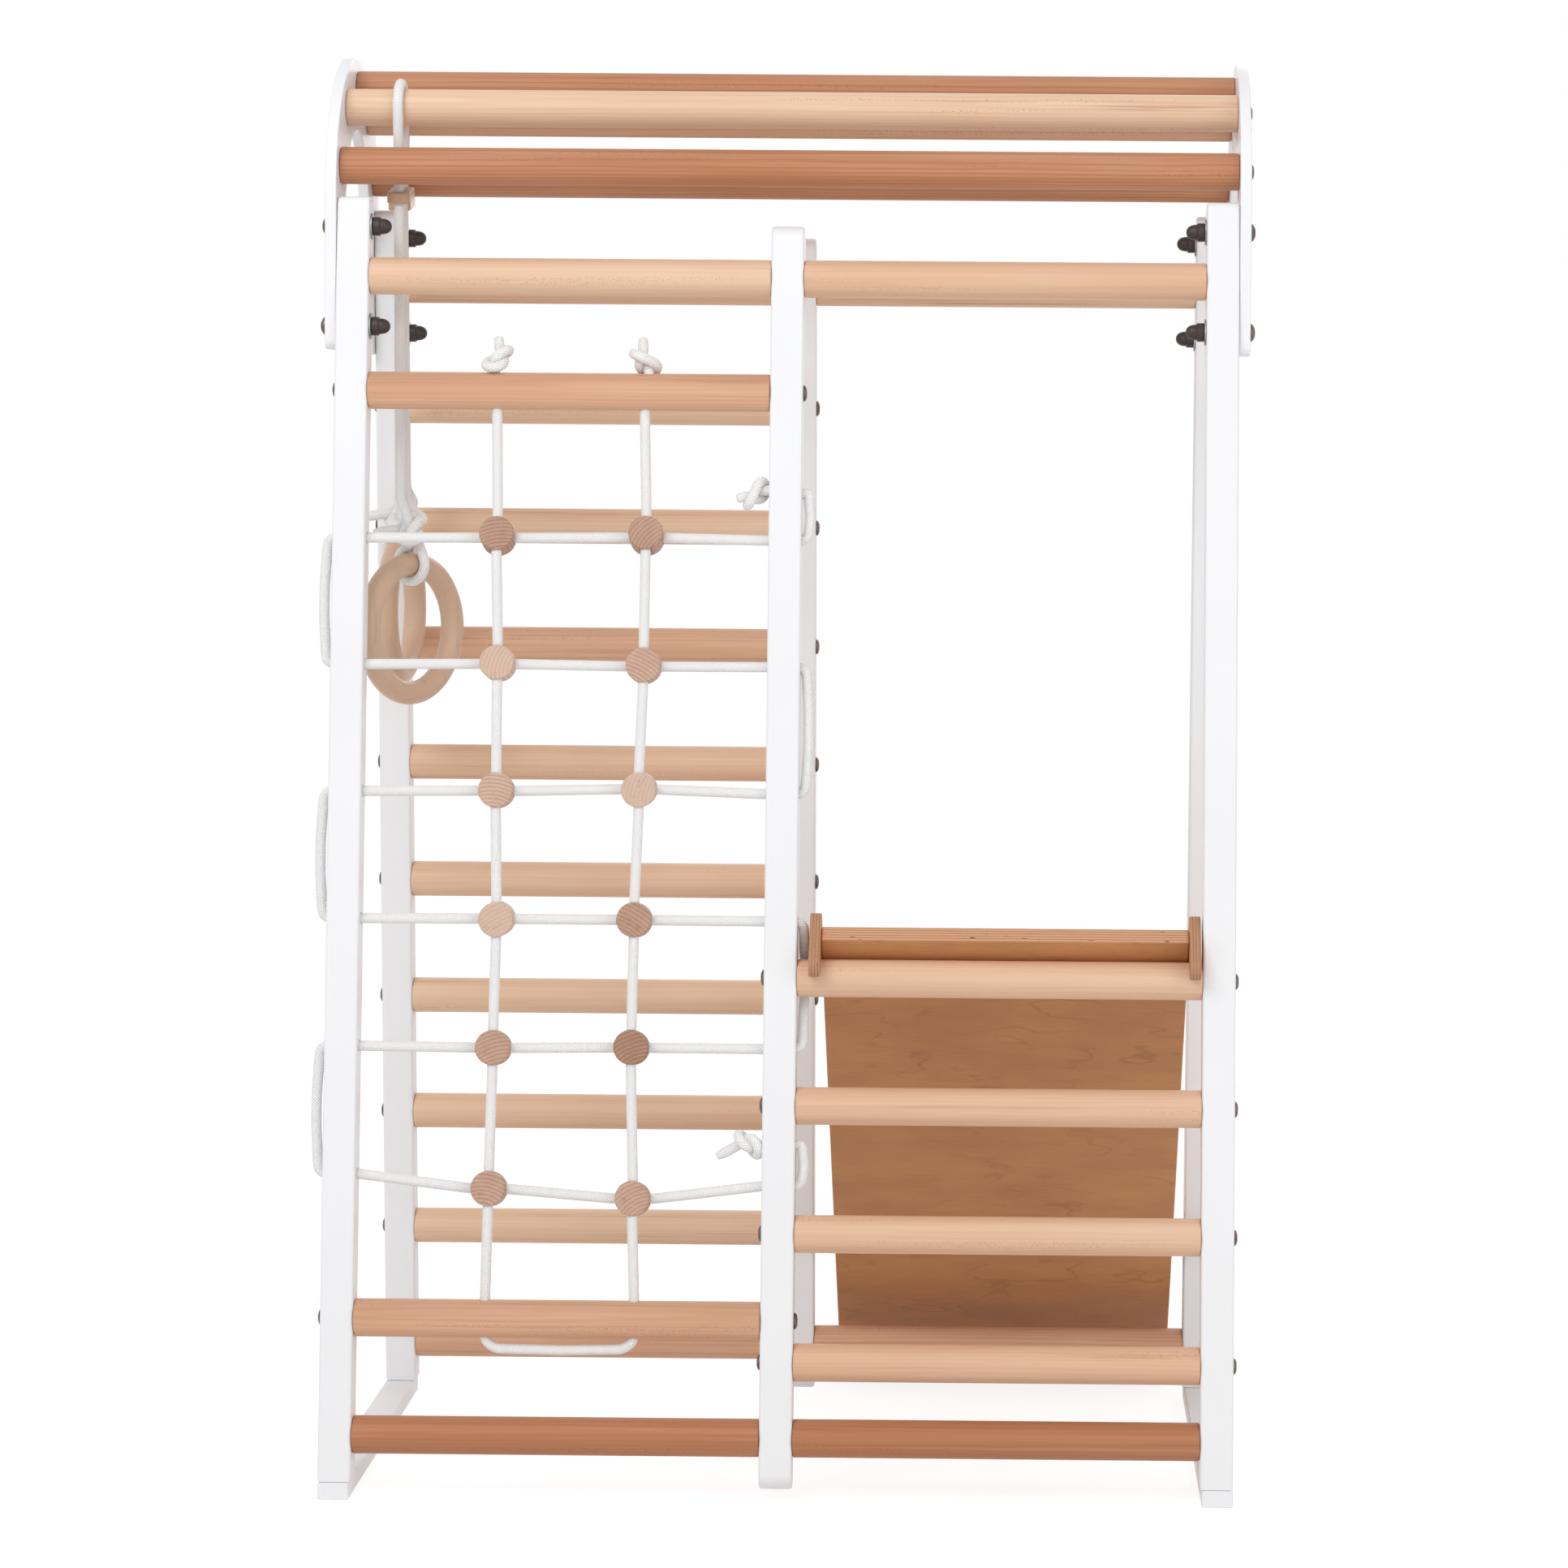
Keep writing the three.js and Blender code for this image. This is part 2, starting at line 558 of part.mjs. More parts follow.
// Net discs: each holds the upright rope ahead of its middle and the level rope behind it
const boreDia = ropeDia + 2 * ropeClear;
const ropeOffset = ropeDia / 2 + ropePassGap;
const discThick = 2 * (ropeOffset + boreDia / 2 + discWall);
const discProfile = [
  [0, -discThick / 2], [discDia / 2 - discEase, -discThick / 2], [discDia / 2, -discThick / 2 + discEase],
  [discDia / 2, discThick / 2 - discEase], [discDia / 2 - discEase, discThick / 2], [0, discThick / 2],
].map(([radius, y]) => new THREE.Vector2(radius, y));
const boreReach = discDia / 2 + overrun;
const disc = cut(solidOf(new THREE.LatheGeometry(discProfile, discSides)), [
  rodZ(boreDia, -boreReach, boreReach, 0, -ropeOffset, holeSides),
  rodX(boreDia, -boreReach, boreReach, ropeOffset, 0, holeSides),
]);
const discs = columnsX.map((x, column) => rowsZ.map((z, row) => {
  const at = vec(x + discXShares[column][row] * discDia, 0, along(z + discZShares[column][row] * discDia));
  const tilt = THREE.MathUtils.degToRad(discTilts[column][row]);
  place(`net_disc_${column + 1}_${row + 1}`, disc, beech, leaning.front, at, vec(tilt, 0, 0));
  return { at, tilt };
}));

// A point given in a disc's own frame
const onDisc = ({ at, tilt }, x, y, z) => vec(x, y, z).applyAxisAngle(xAxis, tilt).add(at);

// The level rope: from its knot through the centre post, then row by row and loop by loop to the other knot
const loopX = postHalf + ropeDia / 2 + ropeStandOff;
const rungPass = rungDia / 2 + ropeDia / 2 + ropeStandOff;
const bendRadius = ropeDia / 2 + ropeClear;
const knotMiddle = knotTurn * Math.sin(THREE.MathUtils.degToRad(knotSlant)) + ropeDia / 2 + ropeStandOff;
const tailX = -postHalf - knotMiddle - knotTail;

function rowPoints(row, way) {
  const pair = way < 0 ? [discs[1][row], discs[0][row]] : [discs[0][row], discs[1][row]];
  return pair.flatMap((one) => [-1, 1].map((end) =>
    onDisc(one, end * way * discDia / 2, ropeOffset, 0)));
}

function levelRopeRoute() {
  const corners = [vec(tailX, 0, along(knotHolesZ[0])), vec(loopX, 0, along(knotHolesZ[0]))];
  corners.push(vec(loopX, 0, along(centreRowsZ[0])));
  for (let row = 0; row < rowCount; row += 1) {
    const way = row % 2 === 0 ? -1 : 1;
    const heights = way < 0 ? [centreRowsZ[row], rowsZ[row]] : [rowsZ[row], centreRowsZ[row]];
    const ends = [way < 0 ? -postHalf : -innerFace, way < 0 ? -innerFace : -postHalf];
    corners.push(vec(ends[0], 0, along(heights[0])), ...rowPoints(row, way), vec(ends[1], 0, along(heights[1])));
    const outX = way < 0 ? -bay - loopX : loopX;
    corners.push(vec(outX, 0, along(heights[1])));
    if (row === rowCount - 1) break;
    const nextZ = way < 0 ? rowsZ[row + 1] : centreRowsZ[row + 1];
    for (const z of treadsZ.filter((tread) => way > 0 && tread < heights[1] && tread > nextZ).toReversed()) {
      corners.push(vec(outX, rungPass, along(z) + rungDia / 4), vec(outX, rungPass, along(z) - rungDia / 4));
    }
    corners.push(vec(outX, 0, along(nextZ)));
  }
  corners.push(vec(loopX, 0, along(knotHolesZ[1])), vec(tailX, 0, along(knotHolesZ[1])));
  return bent(corners, bendRadius);
}

const levelKnots = knotHolesZ.map((z) =>
  knotTurnRound(vec(-postHalf - knotMiddle, 0, along(z)), xAxis, knotTurn, knotSlant));
place("net_level_rope", filled(joined([ropeAlong(levelRopeRoute()), ...levelKnots])), rope, leaning.front);

// The upright rope: from its knot down one column, under the low rung and up the other column
function uprightRopeRoute() {
  const tipZ = along(netTopZ) + rungDia / 2 + knotMiddle + knotTail;
  const underZ = along(netLowZ) - rungDia / 2 - ropeDia / 2 - ropeStandOff;
  const column = (index, rows, way) => rows.flatMap((row) =>
    [-1, 1].map((end) => onDisc(discs[index][row], 0, -ropeOffset, end * way * discDia / 2)));
  const downRows = rowsZ.map((_, row) => row);
  const corners = [
    vec(netHolesX[0], 0, tipZ), vec(netHolesX[0], 0, along(netTopZ) - rungDia / 2),
    ...column(0, downRows, -1),
    vec(netHolesX[0], 0, along(netLowZ) + rungDia / 2), vec(netHolesX[0], 0, underZ),
    vec(netHolesX[1], 0, underZ), vec(netHolesX[1], 0, along(netLowZ) + rungDia / 2),
    ...column(1, downRows.toReversed(), 1),
    vec(netHolesX[1], 0, along(netTopZ) - rungDia / 2), vec(netHolesX[1], 0, tipZ),
  ];
  return bent(corners, bendRadius);
}

const uprightKnots = netHolesX.map((x) =>
  knotTurnRound(vec(x, 0, along(netTopZ) + rungDia / 2 + knotMiddle), zAxis, knotTurn, knotSlant));
place("net_upright_rope", filled(joined([ropeAlong(uprightRopeRoute()), ...uprightKnots])), rope,
  leaning.front);

// Rings: each hangs in a rope that is doubled over an arch rung, drawn together by a slanted wooden adjuster
const ringRadius = (ringDia - ringSection) / 2;
const ring = new THREE.TorusGeometry(ringRadius, ringSection / 2, 10, 24).applyMatrix4(upright);

function adjusterSolid() {
  const [halfX, halfY] = [adjusterWidth / 2, adjusterLength / 2];
  const outline = roundedBar(-halfX, -halfY, halfX, halfY, adjusterRound, adjusterRound, endSteps);
  const body = board(outline, adjusterThick, adjusterEase, new THREE.Matrix4()).rotateX(adjusterSlant);
  const holes = [-1, 1].map((side) => rodZ(boreDia, -adjusterLength, adjusterLength, 0,
    side * adjusterHoles / 2, holeSides));
  return cut(solidOf(body), holes);
}

const ringPlaces = [
  { name: "front", rung: 1, x: frontRingIn - innerFace, ropeX: frontRopeIn - innerFace, drop: frontRingDrop },
  { name: "rear", rung: 3, x: rearRingIn - innerFace, ropeX: rearRopeIn - innerFace, drop: rearRingDrop },
];

function ringRope({ x, ropeX, drop }, rungAt, turn) {
  const { y } = rungAt;
  const adjusterZ = rungAt.z - adjusterDrop;
  const over = rungDia / 2 + ropeDia / 2 + ringLoopGap;
  const topTube = vec(x, y, rungAt.z - drop + ringRadius);
  const knotZ = topTube.z + ringKnotRise;
  const strand = (way) => [
    vec(x + way * strandSpread, y, knotZ),
    vec(ropeX, y + way * adjusterHoles / 2, adjusterZ - adjusterReach),
    vec(ropeX, y + way * adjusterHoles / 2, adjusterZ + adjusterReach),
    vec(ropeX, y + way * over, rungAt.z),
    vec(ropeX, y + way * over, rungAt.z + over),
  ];
  const strands = ropeAlong(bent([...strand(-1), ...strand(1).toReversed()], over, overSteps));
  const loopRadius = ringSection / 2 + ringLoopGap + ropeDia / 2;
  const loop = new THREE.TorusGeometry(loopRadius, ropeDia / 2, ropeSides, 14);
  loop.applyMatrix4(sideways).rotateZ(THREE.MathUtils.degToRad(turn));
  const turns = [0, 1].map((step) => knotTurnRound(vec(x, y, knotZ + ringKnotPitch * step), zAxis,
    ringKnotTurn, ringKnotSlant * (1 - 2 * step)));
  const neck = ropeAlong([vec(x, y, topTube.z + loopRadius), vec(x, y, knotZ + ringKnotPitch)]);
  const stub = ropeAlong([vec(x, y, knotZ), vec(x - stubLength, y, knotZ + stubRise)]);
  const round = solidOf(loop.translate(topTube.x, topTube.y, topTube.z));
  return filled(joined([strands, round, ...turns, neck, stub]));
}

ringPlaces.forEach((spot, i) => {
  const { y, z } = archRungs[spot.rung];
  place(`ring_${spot.name}`, solidOf(ring), beech, frame, vec(spot.x, y, z - spot.drop),
    vec(0, 0, THREE.MathUtils.degToRad(ringTurns[i])));
  place(`ring_rope_${spot.name}`, ringRope(spot, archRungs[spot.rung], ringTurns[i]), rope);
  place(`ring_adjuster_${spot.name}`, adjusterSolid(), beech, frame, vec(spot.ropeX, y, z - adjusterDrop));
});

// The origin lies on the floor under the middle of the part's own depth
frame.updateMatrixWorld(true);
const size = new THREE.Box3().setFromObject(frame, true);
frame.position.y = -(size.min.y + size.max.y) / 2;

export default frame;
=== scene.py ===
"""Indoor climbing frame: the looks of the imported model, in metres, +Z up, front towards -Y."""

import math
import random

import bmesh
import bpy
import numpy as np
from mathutils import Matrix, Vector


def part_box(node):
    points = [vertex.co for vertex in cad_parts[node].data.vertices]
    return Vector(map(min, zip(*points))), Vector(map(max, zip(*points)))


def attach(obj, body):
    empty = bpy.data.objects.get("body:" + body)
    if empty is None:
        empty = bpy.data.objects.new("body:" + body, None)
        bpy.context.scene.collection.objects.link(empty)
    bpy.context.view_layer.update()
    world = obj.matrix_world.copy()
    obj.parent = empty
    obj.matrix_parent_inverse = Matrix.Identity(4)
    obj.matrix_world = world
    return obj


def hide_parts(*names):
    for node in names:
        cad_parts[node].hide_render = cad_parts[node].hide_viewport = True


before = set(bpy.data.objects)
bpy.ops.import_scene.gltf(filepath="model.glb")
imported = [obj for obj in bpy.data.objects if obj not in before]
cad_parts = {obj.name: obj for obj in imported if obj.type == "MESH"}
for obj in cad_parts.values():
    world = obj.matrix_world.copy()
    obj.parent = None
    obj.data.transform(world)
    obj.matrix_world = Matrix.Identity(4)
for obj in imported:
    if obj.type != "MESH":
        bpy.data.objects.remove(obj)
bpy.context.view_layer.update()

# The frame's own sizes
POST, POST_EASE, FOOT_ROUND = 0.035, 0.003, 0.0012
BAY = 0.465
FOOT_SPREAD = 0.512
HEAD_SPREAD = 0.27123
OUTER_TOP, OUTER_ROUND = 1.376, 0.010
LEAN = math.atan((FOOT_SPREAD - HEAD_SPREAD) / 2 / OUTER_TOP)
CENTRE_FOOT, CENTRE_TOP, CENTRE_ROUND = 0.012, 1.348, POST * 0.497
RUNNER_THICK, RUNNER_WIDTH, RUNNER_EASE = 0.018, 0.033, 0.002
RUNG, RUNG_EASE = 0.040, 0.0012
LOW_Z, TOP_Z = 0.065, 1.292
NET_RUNGS_Z = (0.1875, 1.1695)
ROWS, ROW_TOP, ROW_PITCH = 6, 1.012, 0.1347
TREADS, TREAD_SHIFT, BARS = 4, 0.4417, 8
TREADS_Z = [ROW_TOP - ROW_PITCH * (ROWS - i + TREAD_SHIFT) for i in range(TREADS)]
BARS_Z = [LOW_Z + (TOP_Z - LOW_Z) * (i + 1) / (BARS + 1) for i in range(BARS)]
GAP = 0.0003
HEAD, HEAD_RISE = 0.0175, 0.0035
ARCH_THICK, ARCH_OUTER, ARCH_INNER = 0.012, 0.1585, 0.080
ARCH_Z, ARCH_FOOT_Z, ARCH_KNEE_Z = 1.377, 1.213, 1.320
ARCH_LEG, ARCH_CORNER, ARCH_EASE = 0.116, 0.010, 0.0015
ARCH_CIRCLE, ARCH_STEP = 0.125, 37.1
ARCH_BOLTS_Z = (1.238, 1.345)
SLIDE_WIDTH, SLIDE_THICK, SLIDE_SHIFT = 0.390, 0.018, 0.0055
SLIDE_OVERHANG, SLIDE_FOOT_OUT, FOOT_FLAT, SLIDE_EASE = 0.040, 0.1331, 0.015, 0.002
RAIL_THICK, RAIL_HEIGHT, RAIL_START, RAIL_END_GAP = 0.012, 0.030, 0.020, 0.025
HOOK_THICK, HOOK_FRONT, HOOK_REAR = 0.012, 0.045, 0.025
HOOK_TOP, HOOK_DROP, HOOK_ROUND, HOOK_EASE, HOOK_CLEAR = 0.058, 0.020, 0.011, 0.0012, 0.0006
ROPE, ROPE_CLEAR = 0.011, 0.0008
ROWS_Z = [ROW_TOP - ROW_PITCH * i for i in range(ROWS)]
LAST_ROW_DROP, KNOT_TOP, KNOT_LOW_RISE, KNOT_OUT = 0.0095, 1.062, 0.044, 0.0145
CENTRE_ROWS_Z = [*ROWS_Z[:-1], ROWS_Z[-1] - LAST_ROW_DROP]
KNOTS_Z = (KNOT_TOP, CENTRE_ROWS_Z[-1] + KNOT_LOW_RISE)
COLUMNS_X, NET_HOLES_X = (-0.305, -0.153), (-0.310, -0.152)
DISC, DISC_THICK, DISC_EASE, DISC_NICK = 0.037, 0.030, 0.002, 0.0006
BORE = 0.0128
ROPE_OFFSET = 0.0068
# By column and row: places beside the crossings in disc widths, then tilts, tones and turns in degrees
DISC_X = [[-0.07, -0.01, 0, 0.06, 0.01, -0.06], [0.12, 0.09, 0, -0.09, -0.13, -0.04]]
DISC_Z = [[0.07, 0.05, 0.04, 0, -0.03, -0.4], [0.11, 0.01, 0.1, 0.01, 0.01, -0.65]]
DISC_TILTS = [[-11, -4, -2, 2, -3, -5], [-12, -3, 3, -2, -4, -6]]
DISC_TONES = [[0.62, -0.1, 0.15, -0.1, 0.4, 0.38], [0.52, 0.25, -0.2, 0.5, 0.8, 0.32]]
DISC_TURNS = [[4, 60, -12, 30, 24, -20], [48, -30, 70, -24, 16, 38]]
RING, RING_SECTION = 0.166, 0.025
# Each ring's name, side, x, its rope's x, z and turn in degrees
RINGS = [("front", -1, -0.413, -0.425, 0.911, 58), ("rear", 1, -0.444, -0.445, 0.926, 85)]
RING_CLEAR = 0.003
ADJUSTER_Z, ADJUSTER_HOLES = 1.382, 0.028
ADJUSTER_WIDTH, ADJUSTER_LONG, ADJUSTER_THICK, ADJUSTER_TILT = 0.025, 0.052, 0.012, 11
ADJUSTER_ROUND, ADJUSTER_EASE = 0.009, 0.0015
LOOP_BULGE = 0.003
LOW_LOOP, LOW_LOOP_DEPTH = [(0, 0.0233), (0.0117, 0.0315)], 0.0327
FINE_STEP = 0.002

INNER = BAY - POST / 2
OUTER = BAY + POST / 2
SHIFT = (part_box("base_runner_left")[0].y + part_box("base_runner_left")[1].y) / 2
LEANING = {
    side: Matrix.Translation((0, SHIFT + side * FOOT_SPREAD / 2, 0)) @ Matrix.Rotation(side * LEAN, 4, "X")
    for side in (-1, 1)
}


def along(z):
    """A height as a length along a leaning post."""
    return z / math.cos(LEAN)


def post_y(z):
    """How far a post's axis is from the frame's middle at a height."""
    return FOOT_SPREAD / 2 - math.tan(LEAN) * z


# Finishes
class Value:
    """An output socket. Sums and products with it add Math nodes."""

    def __init__(self, finish, socket):
        self.finish, self.socket = finish, socket

    def maths(self, operation, *values):
        return self.finish.node("ShaderNodeMath", {"operation": operation}, dict(enumerate(values)))

    def __add__(self, other):
        return self.maths("ADD", self, other)

    def __sub__(self, other):
        return self.maths("SUBTRACT", self, other)

    def __rsub__(self, other):
        return self.maths("SUBTRACT", other, self)

    def __mul__(self, other):
        return self.maths("MULTIPLY", self, other)

    def __truediv__(self, other):
        return self.maths("DIVIDE", self, other)

    def __pow__(self, other):
        return self.maths("POWER", self, other)

    def __mod__(self, other):
        return self.maths("FLOORED_MODULO", self, other)

    __radd__, __rmul__ = __add__, __mul__

    def __abs__(self):
        return self.maths("ABSOLUTE", self)

    def floor(self):
        return self.maths("FLOOR", self)

    def sine(self):
        return self.maths("SINE", self)

    def most(self, other):
        return self.maths("MAXIMUM", self, other)

    def least(self, other):
        return self.maths("MINIMUM", self, other)

    def between(self, low, high):
        """0 below low, 1 above high, with a soft step between them."""
        return self.finish.node("ShaderNodeMapRange", {"interpolation_type": "SMOOTHSTEP"},
                                {"Value": self, "From Min": low, "From Max": high})

    def scaled(self, *factors):
        """A vector times a factor along each of its axes."""
        return self.finish.node("ShaderNodeVectorMath", {"operation": "MULTIPLY"}, {0: self, 1: factors})

    def part(self, name):
        return self.finish.node("ShaderNodeSeparateXYZ", {}, {0: self}, name)


class Tree:
    """A node tree, with the ways to add a node and to feed a socket."""

    def __init__(self, tree):
        self.tree = tree

    def node(self, kind, settings, sockets, output=0):
        made = self.tree.nodes.new(kind)
        for name, value in settings.items():
            setattr(made, name, value)
        for name, value in sockets.items():
            self.feed(made.inputs[name], value)
        return Value(self, made.outputs[output])

    def feed(self, socket, value):
        if isinstance(value, Value):
            self.tree.links.new(value.socket, socket)
        else:
            socket.default_value = value

    def seen(self):
        """1 where the camera looks, straight or by a reflection, and 0 for the rays that light the object."""
        straight, mirrored, through = (self.node("ShaderNodeLightPath", {}, {}, f"Is {kind} Ray")
                                       for kind in ("Camera", "Glossy", "Transmission"))
        return straight.most(mirrored).most(through)


class Finish(Tree):
    """One material."""

    def __init__(self, name, **constants):
        self.material = bpy.data.materials.new(name)
        self.material.use_nodes = True
        super().__init__(self.material.node_tree)
        self.shader = self.tree.nodes["Principled BSDF"]
        for socket, value in constants.items():
            self.shader.inputs[socket.replace("_", " ")].default_value = value

    def mixed(self, share, first, second):
        """One colour going over into another."""
        made = self.tree.nodes.new("ShaderNodeMix")
        made.data_type = "RGBA"
        colours = [value if isinstance(value, Value) else (*value, 1) for value in (first, second)]
        for socket, value in zip((made.inputs[0], made.inputs[6], made.inputs[7]), (share, *colours)):
            self.feed(socket, value)
        return Value(self, made.outputs[2])

    def noise(self, place, scale=1, detail=3, roughness=0.5):
        """Soft noise round 0.5."""
        return self.node("ShaderNodeTexNoise", {},
                         {"Vector": place, "Scale": scale, "Detail": detail, "Roughness": roughness})

    def attribute(self, name, output="Vector"):
        """A value that timber() kept on the mesh."""
        return self.node("ShaderNodeAttribute", {"attribute_name": name}, {}, output)

    def paint(self, colour, roughness, height, depth):
        """Feeds the shader. A height of 1 stands out by depth, in metres."""
        self.feed(self.shader.inputs["Base Color"], colour)
        self.feed(self.shader.inputs["Roughness"], roughness)
        bump = self.node("ShaderNodeBump", {}, {"Height": height, "Distance": depth, "Strength": 1})
        self.feed(self.shader.inputs["Normal"], bump)
        return self.material


# What the finishes repeat, in metres, and the strands that are laid each way round a cord
GROWTH_RING, PLY, STRAND_LENGTH, STRANDS = 0.0042, 0.0033, 0.0031, 10


def wood(name, light, mid, red, rings=0.15, flecks=0.42, roughness=0.5):
    """Varnished beech. Each piece's tone runs from light over mid to red. Along the grain go fine streaks,
    with growth rings across them and rows of short dark flecks where the rays come out."""
    finish = Finish(name, Specular_IOR_Level=0.35)
    place, tone = finish.attribute("timber"), finish.attribute("tone", "Fac")
    across, deep = place.part("Y"), place.part("Z")
    sway = finish.noise(place.scaled(3, 14, 14), detail=2)
    from_pith = (across * across + deep * deep) ** 0.5
    growth = ((from_pith + sway * 0.006) * (2 * math.pi / GROWTH_RING)).sine().between(0.1, 1)
    clouds = finish.noise(place.scaled(3, 24, 24), detail=2)
    streaks = finish.noise(place.scaled(5, 330, 330), detail=3, roughness=0.6)
    bands = finish.noise(place.scaled(1.6, 85, 85), detail=2)
    shade = tone * 2 + (clouds - 0.5) * 0.7 + (streaks - 0.5) * 0.55 + (bands - 0.5) * 0.5 + growth * rings
    ground = finish.mixed(shade - 1, finish.mixed(shade, light, mid), red)
    dark = [part * 0.42 for part in red]
    reddest = finish.mixed((shade - 1.9) * 0.4, ground, dark)
    drawn = finish.mixed(bands.between(0.6, 0.74) * streaks.between(0.45, 0.6) * 0.35, reddest, dark)
    cells = finish.node("ShaderNodeTexVoronoi", {}, {"Vector": place.scaled(290, 640, 640), "Scale": 1})
    rows = finish.noise(place.scaled(1.8, 70, 70), detail=1)
    marks = (1 - cells.between(0.14, 0.34)) * rows.between(0.6, 0.68) * finish.attribute("flecked", "Fac")
    flecked = finish.mixed(marks * flecks, drawn, dark)
    fibres = finish.noise(place.scaled(14, 900, 900), detail=4, roughness=0.65)
    return finish.paint(flecked, fibres * 0.16 + roughness - 0.08, fibres * 0.5 - marks * 0.5, 0.0001)


def plywood(name, light, mid, dark, edge_colour):
    """Varnished plywood: clouds and thin wavy dark lines on its faces, and its plies on its edges."""
    finish = Finish(name, Specular_IOR_Level=0.35)
    place = finish.attribute("timber")
    clouds = finish.noise(place.scaled(9, 20, 7), detail=4, roughness=0.6)
    sway = finish.noise(place.scaled(3.6, 8.5, 1), detail=4, roughness=0.5)
    where = finish.noise(place.scaled(10, 14, 1), detail=2)
    contour = 1 - abs((sway * 11) % 1 - 0.5) * 9
    lines = contour.between(0, 1) * where.between(0.42, 0.66)
    knots = finish.noise(place.scaled(24, 40, 1), detail=2).between(0.72, 0.8)
    fibres = finish.noise(place.scaled(25, 420, 420), detail=3, roughness=0.6)
    plies = ((place.part("Z") * (2 * math.pi / PLY)).sine() * 0.5 + 0.5).between(0.66, 0.95)
    voids = finish.noise(place.scaled(55, 55, 420), detail=1).between(0.73, 0.76)
    edge = finish.attribute("edge", "Fac")
    ground = finish.mixed(clouds.between(0.3, 0.7), light, mid)
    face = finish.mixed((lines * 0.3 + knots * 0.35).least(1), ground, dark)
    ends = finish.mixed(finish.attribute("tone", "Fac"), edge_colour, [part * 0.62 for part in edge_colour])
    layered = finish.mixed(voids, finish.mixed(plies * 0.55, ends, dark), [part * 0.2 for part in dark])
    both = finish.mixed(edge, face, layered)
    grained = finish.mixed(fibres.between(0.52, 0.8) * 0.2, both, dark)
    return finish.paint(grained, fibres * 0.16 + 0.45, fibres * 0.4 - plies * edge * 0.5, 0.0001)


def white_paint(light, dull):
    """Satin paint, a little clouded, over a grain that just shows."""
    finish = Finish("white_paint", Specular_IOR_Level=0.4)
    place = finish.attribute("timber")
    grain = finish.noise(place.scaled(10, 420, 420), detail=3, roughness=0.6)
    stipple = finish.noise(place, 1500, 2)
    clouds = finish.noise(place, 6, 2)
    colour = finish.mixed(clouds.between(0.35, 0.7) * 0.5 + grain.between(0.6, 0.85) * 0.3, light, dull)
    return finish.paint(colour, stipple * 0.1 + 0.36, grain * 0.6 + stipple * 0.2, 0.0001)


def braided_cord(crevice_shade, yarn_colour):
    """Strands plaited round the cord, as many turning one way as the other, with painted shade darkening the
    crevices between them.
    """
    finish = Finish("braided_cord", Specular_IOR_Level=0.25, Sheen_Weight=0.2)
    lay = finish.node("ShaderNodeUVMap", {"uv_map": "lay"}, {})
    turn, way = lay.part("Y") * STRANDS, lay.part("X") / STRAND_LENGTH
    first, second = turn + way, turn - way
    over = ((first.floor() + second.floor()) % 2).between(0.4, 0.6)
    first_round = 1 - abs((first % 1) * 2 - 1) ** 3.0
    second_round = 1 - abs((second % 1) * 2 - 1) ** 3.0
    height = first_round * second_round ** 0.35 * over + second_round * first_round ** 0.35 * (1 - over)
    yarn = (second * 20).sine() * over + (first * 20).sine() * (1 - over)
    dirt = finish.noise(finish.attribute("timber"), 60, 3)
    # Painted shade: the colour goes darker towards the crevices between the strands and where the braid lies
    # low, and the dirt noise varies it a little.
    crevice_shade_mask = first_round.most(second_round).between(0.15, 0.85)
    crevice_shade_and_dirt = (crevice_shade_mask * 0.7 + height.between(0.0, 0.25) * 0.3) * (0.95 + dirt * 0.1)
    colour = finish.mixed(crevice_shade_and_dirt, crevice_shade, yarn_colour)
    return finish.paint(colour, dirt * 0.1 + 0.7, height + yarn * 0.06, 0.0005)


def metal(name, colour, roughness):
    """Turned metal with fine scratches and a little tarnish."""
    finish = Finish(name, Metallic=1.0)
    place = finish.attribute("timber")
    scratches = finish.noise(place.scaled(300, 1200, 600), detail=3)
    tarnish = finish.noise(place, 140, 3)
    tinted = finish.mixed(tarnish.between(0.35, 0.7), colour, [part * 0.6 for part in colour])
    return finish.paint(tinted, scratches * 0.2 + roughness, scratches, 0.00004)


def plastic(dark, light):
    """Dark moulded plastic with a fine grain."""
    finish = Finish("cap_plastic")
    grain = finish.noise(finish.attribute("timber"), 900, 2)
    tinted = finish.mixed(grain * 0.5, dark, light)
    return finish.paint(tinted, grain * 0.15 + 0.42, grain, 0.00005)


# Colours of the beech: light, middle and red
BEECH = (0.80, 0.575, 0.40), (0.69, 0.41, 0.265), (0.46, 0.19, 0.088)
END_GRAIN = (0.64, 0.45, 0.352), (0.475, 0.291, 0.208), (0.33, 0.17, 0.11)
PALE_BEECH = (0.68, 0.475, 0.35), (0.60, 0.40, 0.275), (0.5, 0.32, 0.21)
# Colours of the plywood: light and middle of its faces, its dark lines and its edges
PLYWOOD = (0.57, 0.265, 0.109), (0.485, 0.223, 0.092), (0.20, 0.08, 0.03), (0.63, 0.335, 0.19)
PAINT = (0.845, 0.848, 0.865), (0.815, 0.818, 0.832)
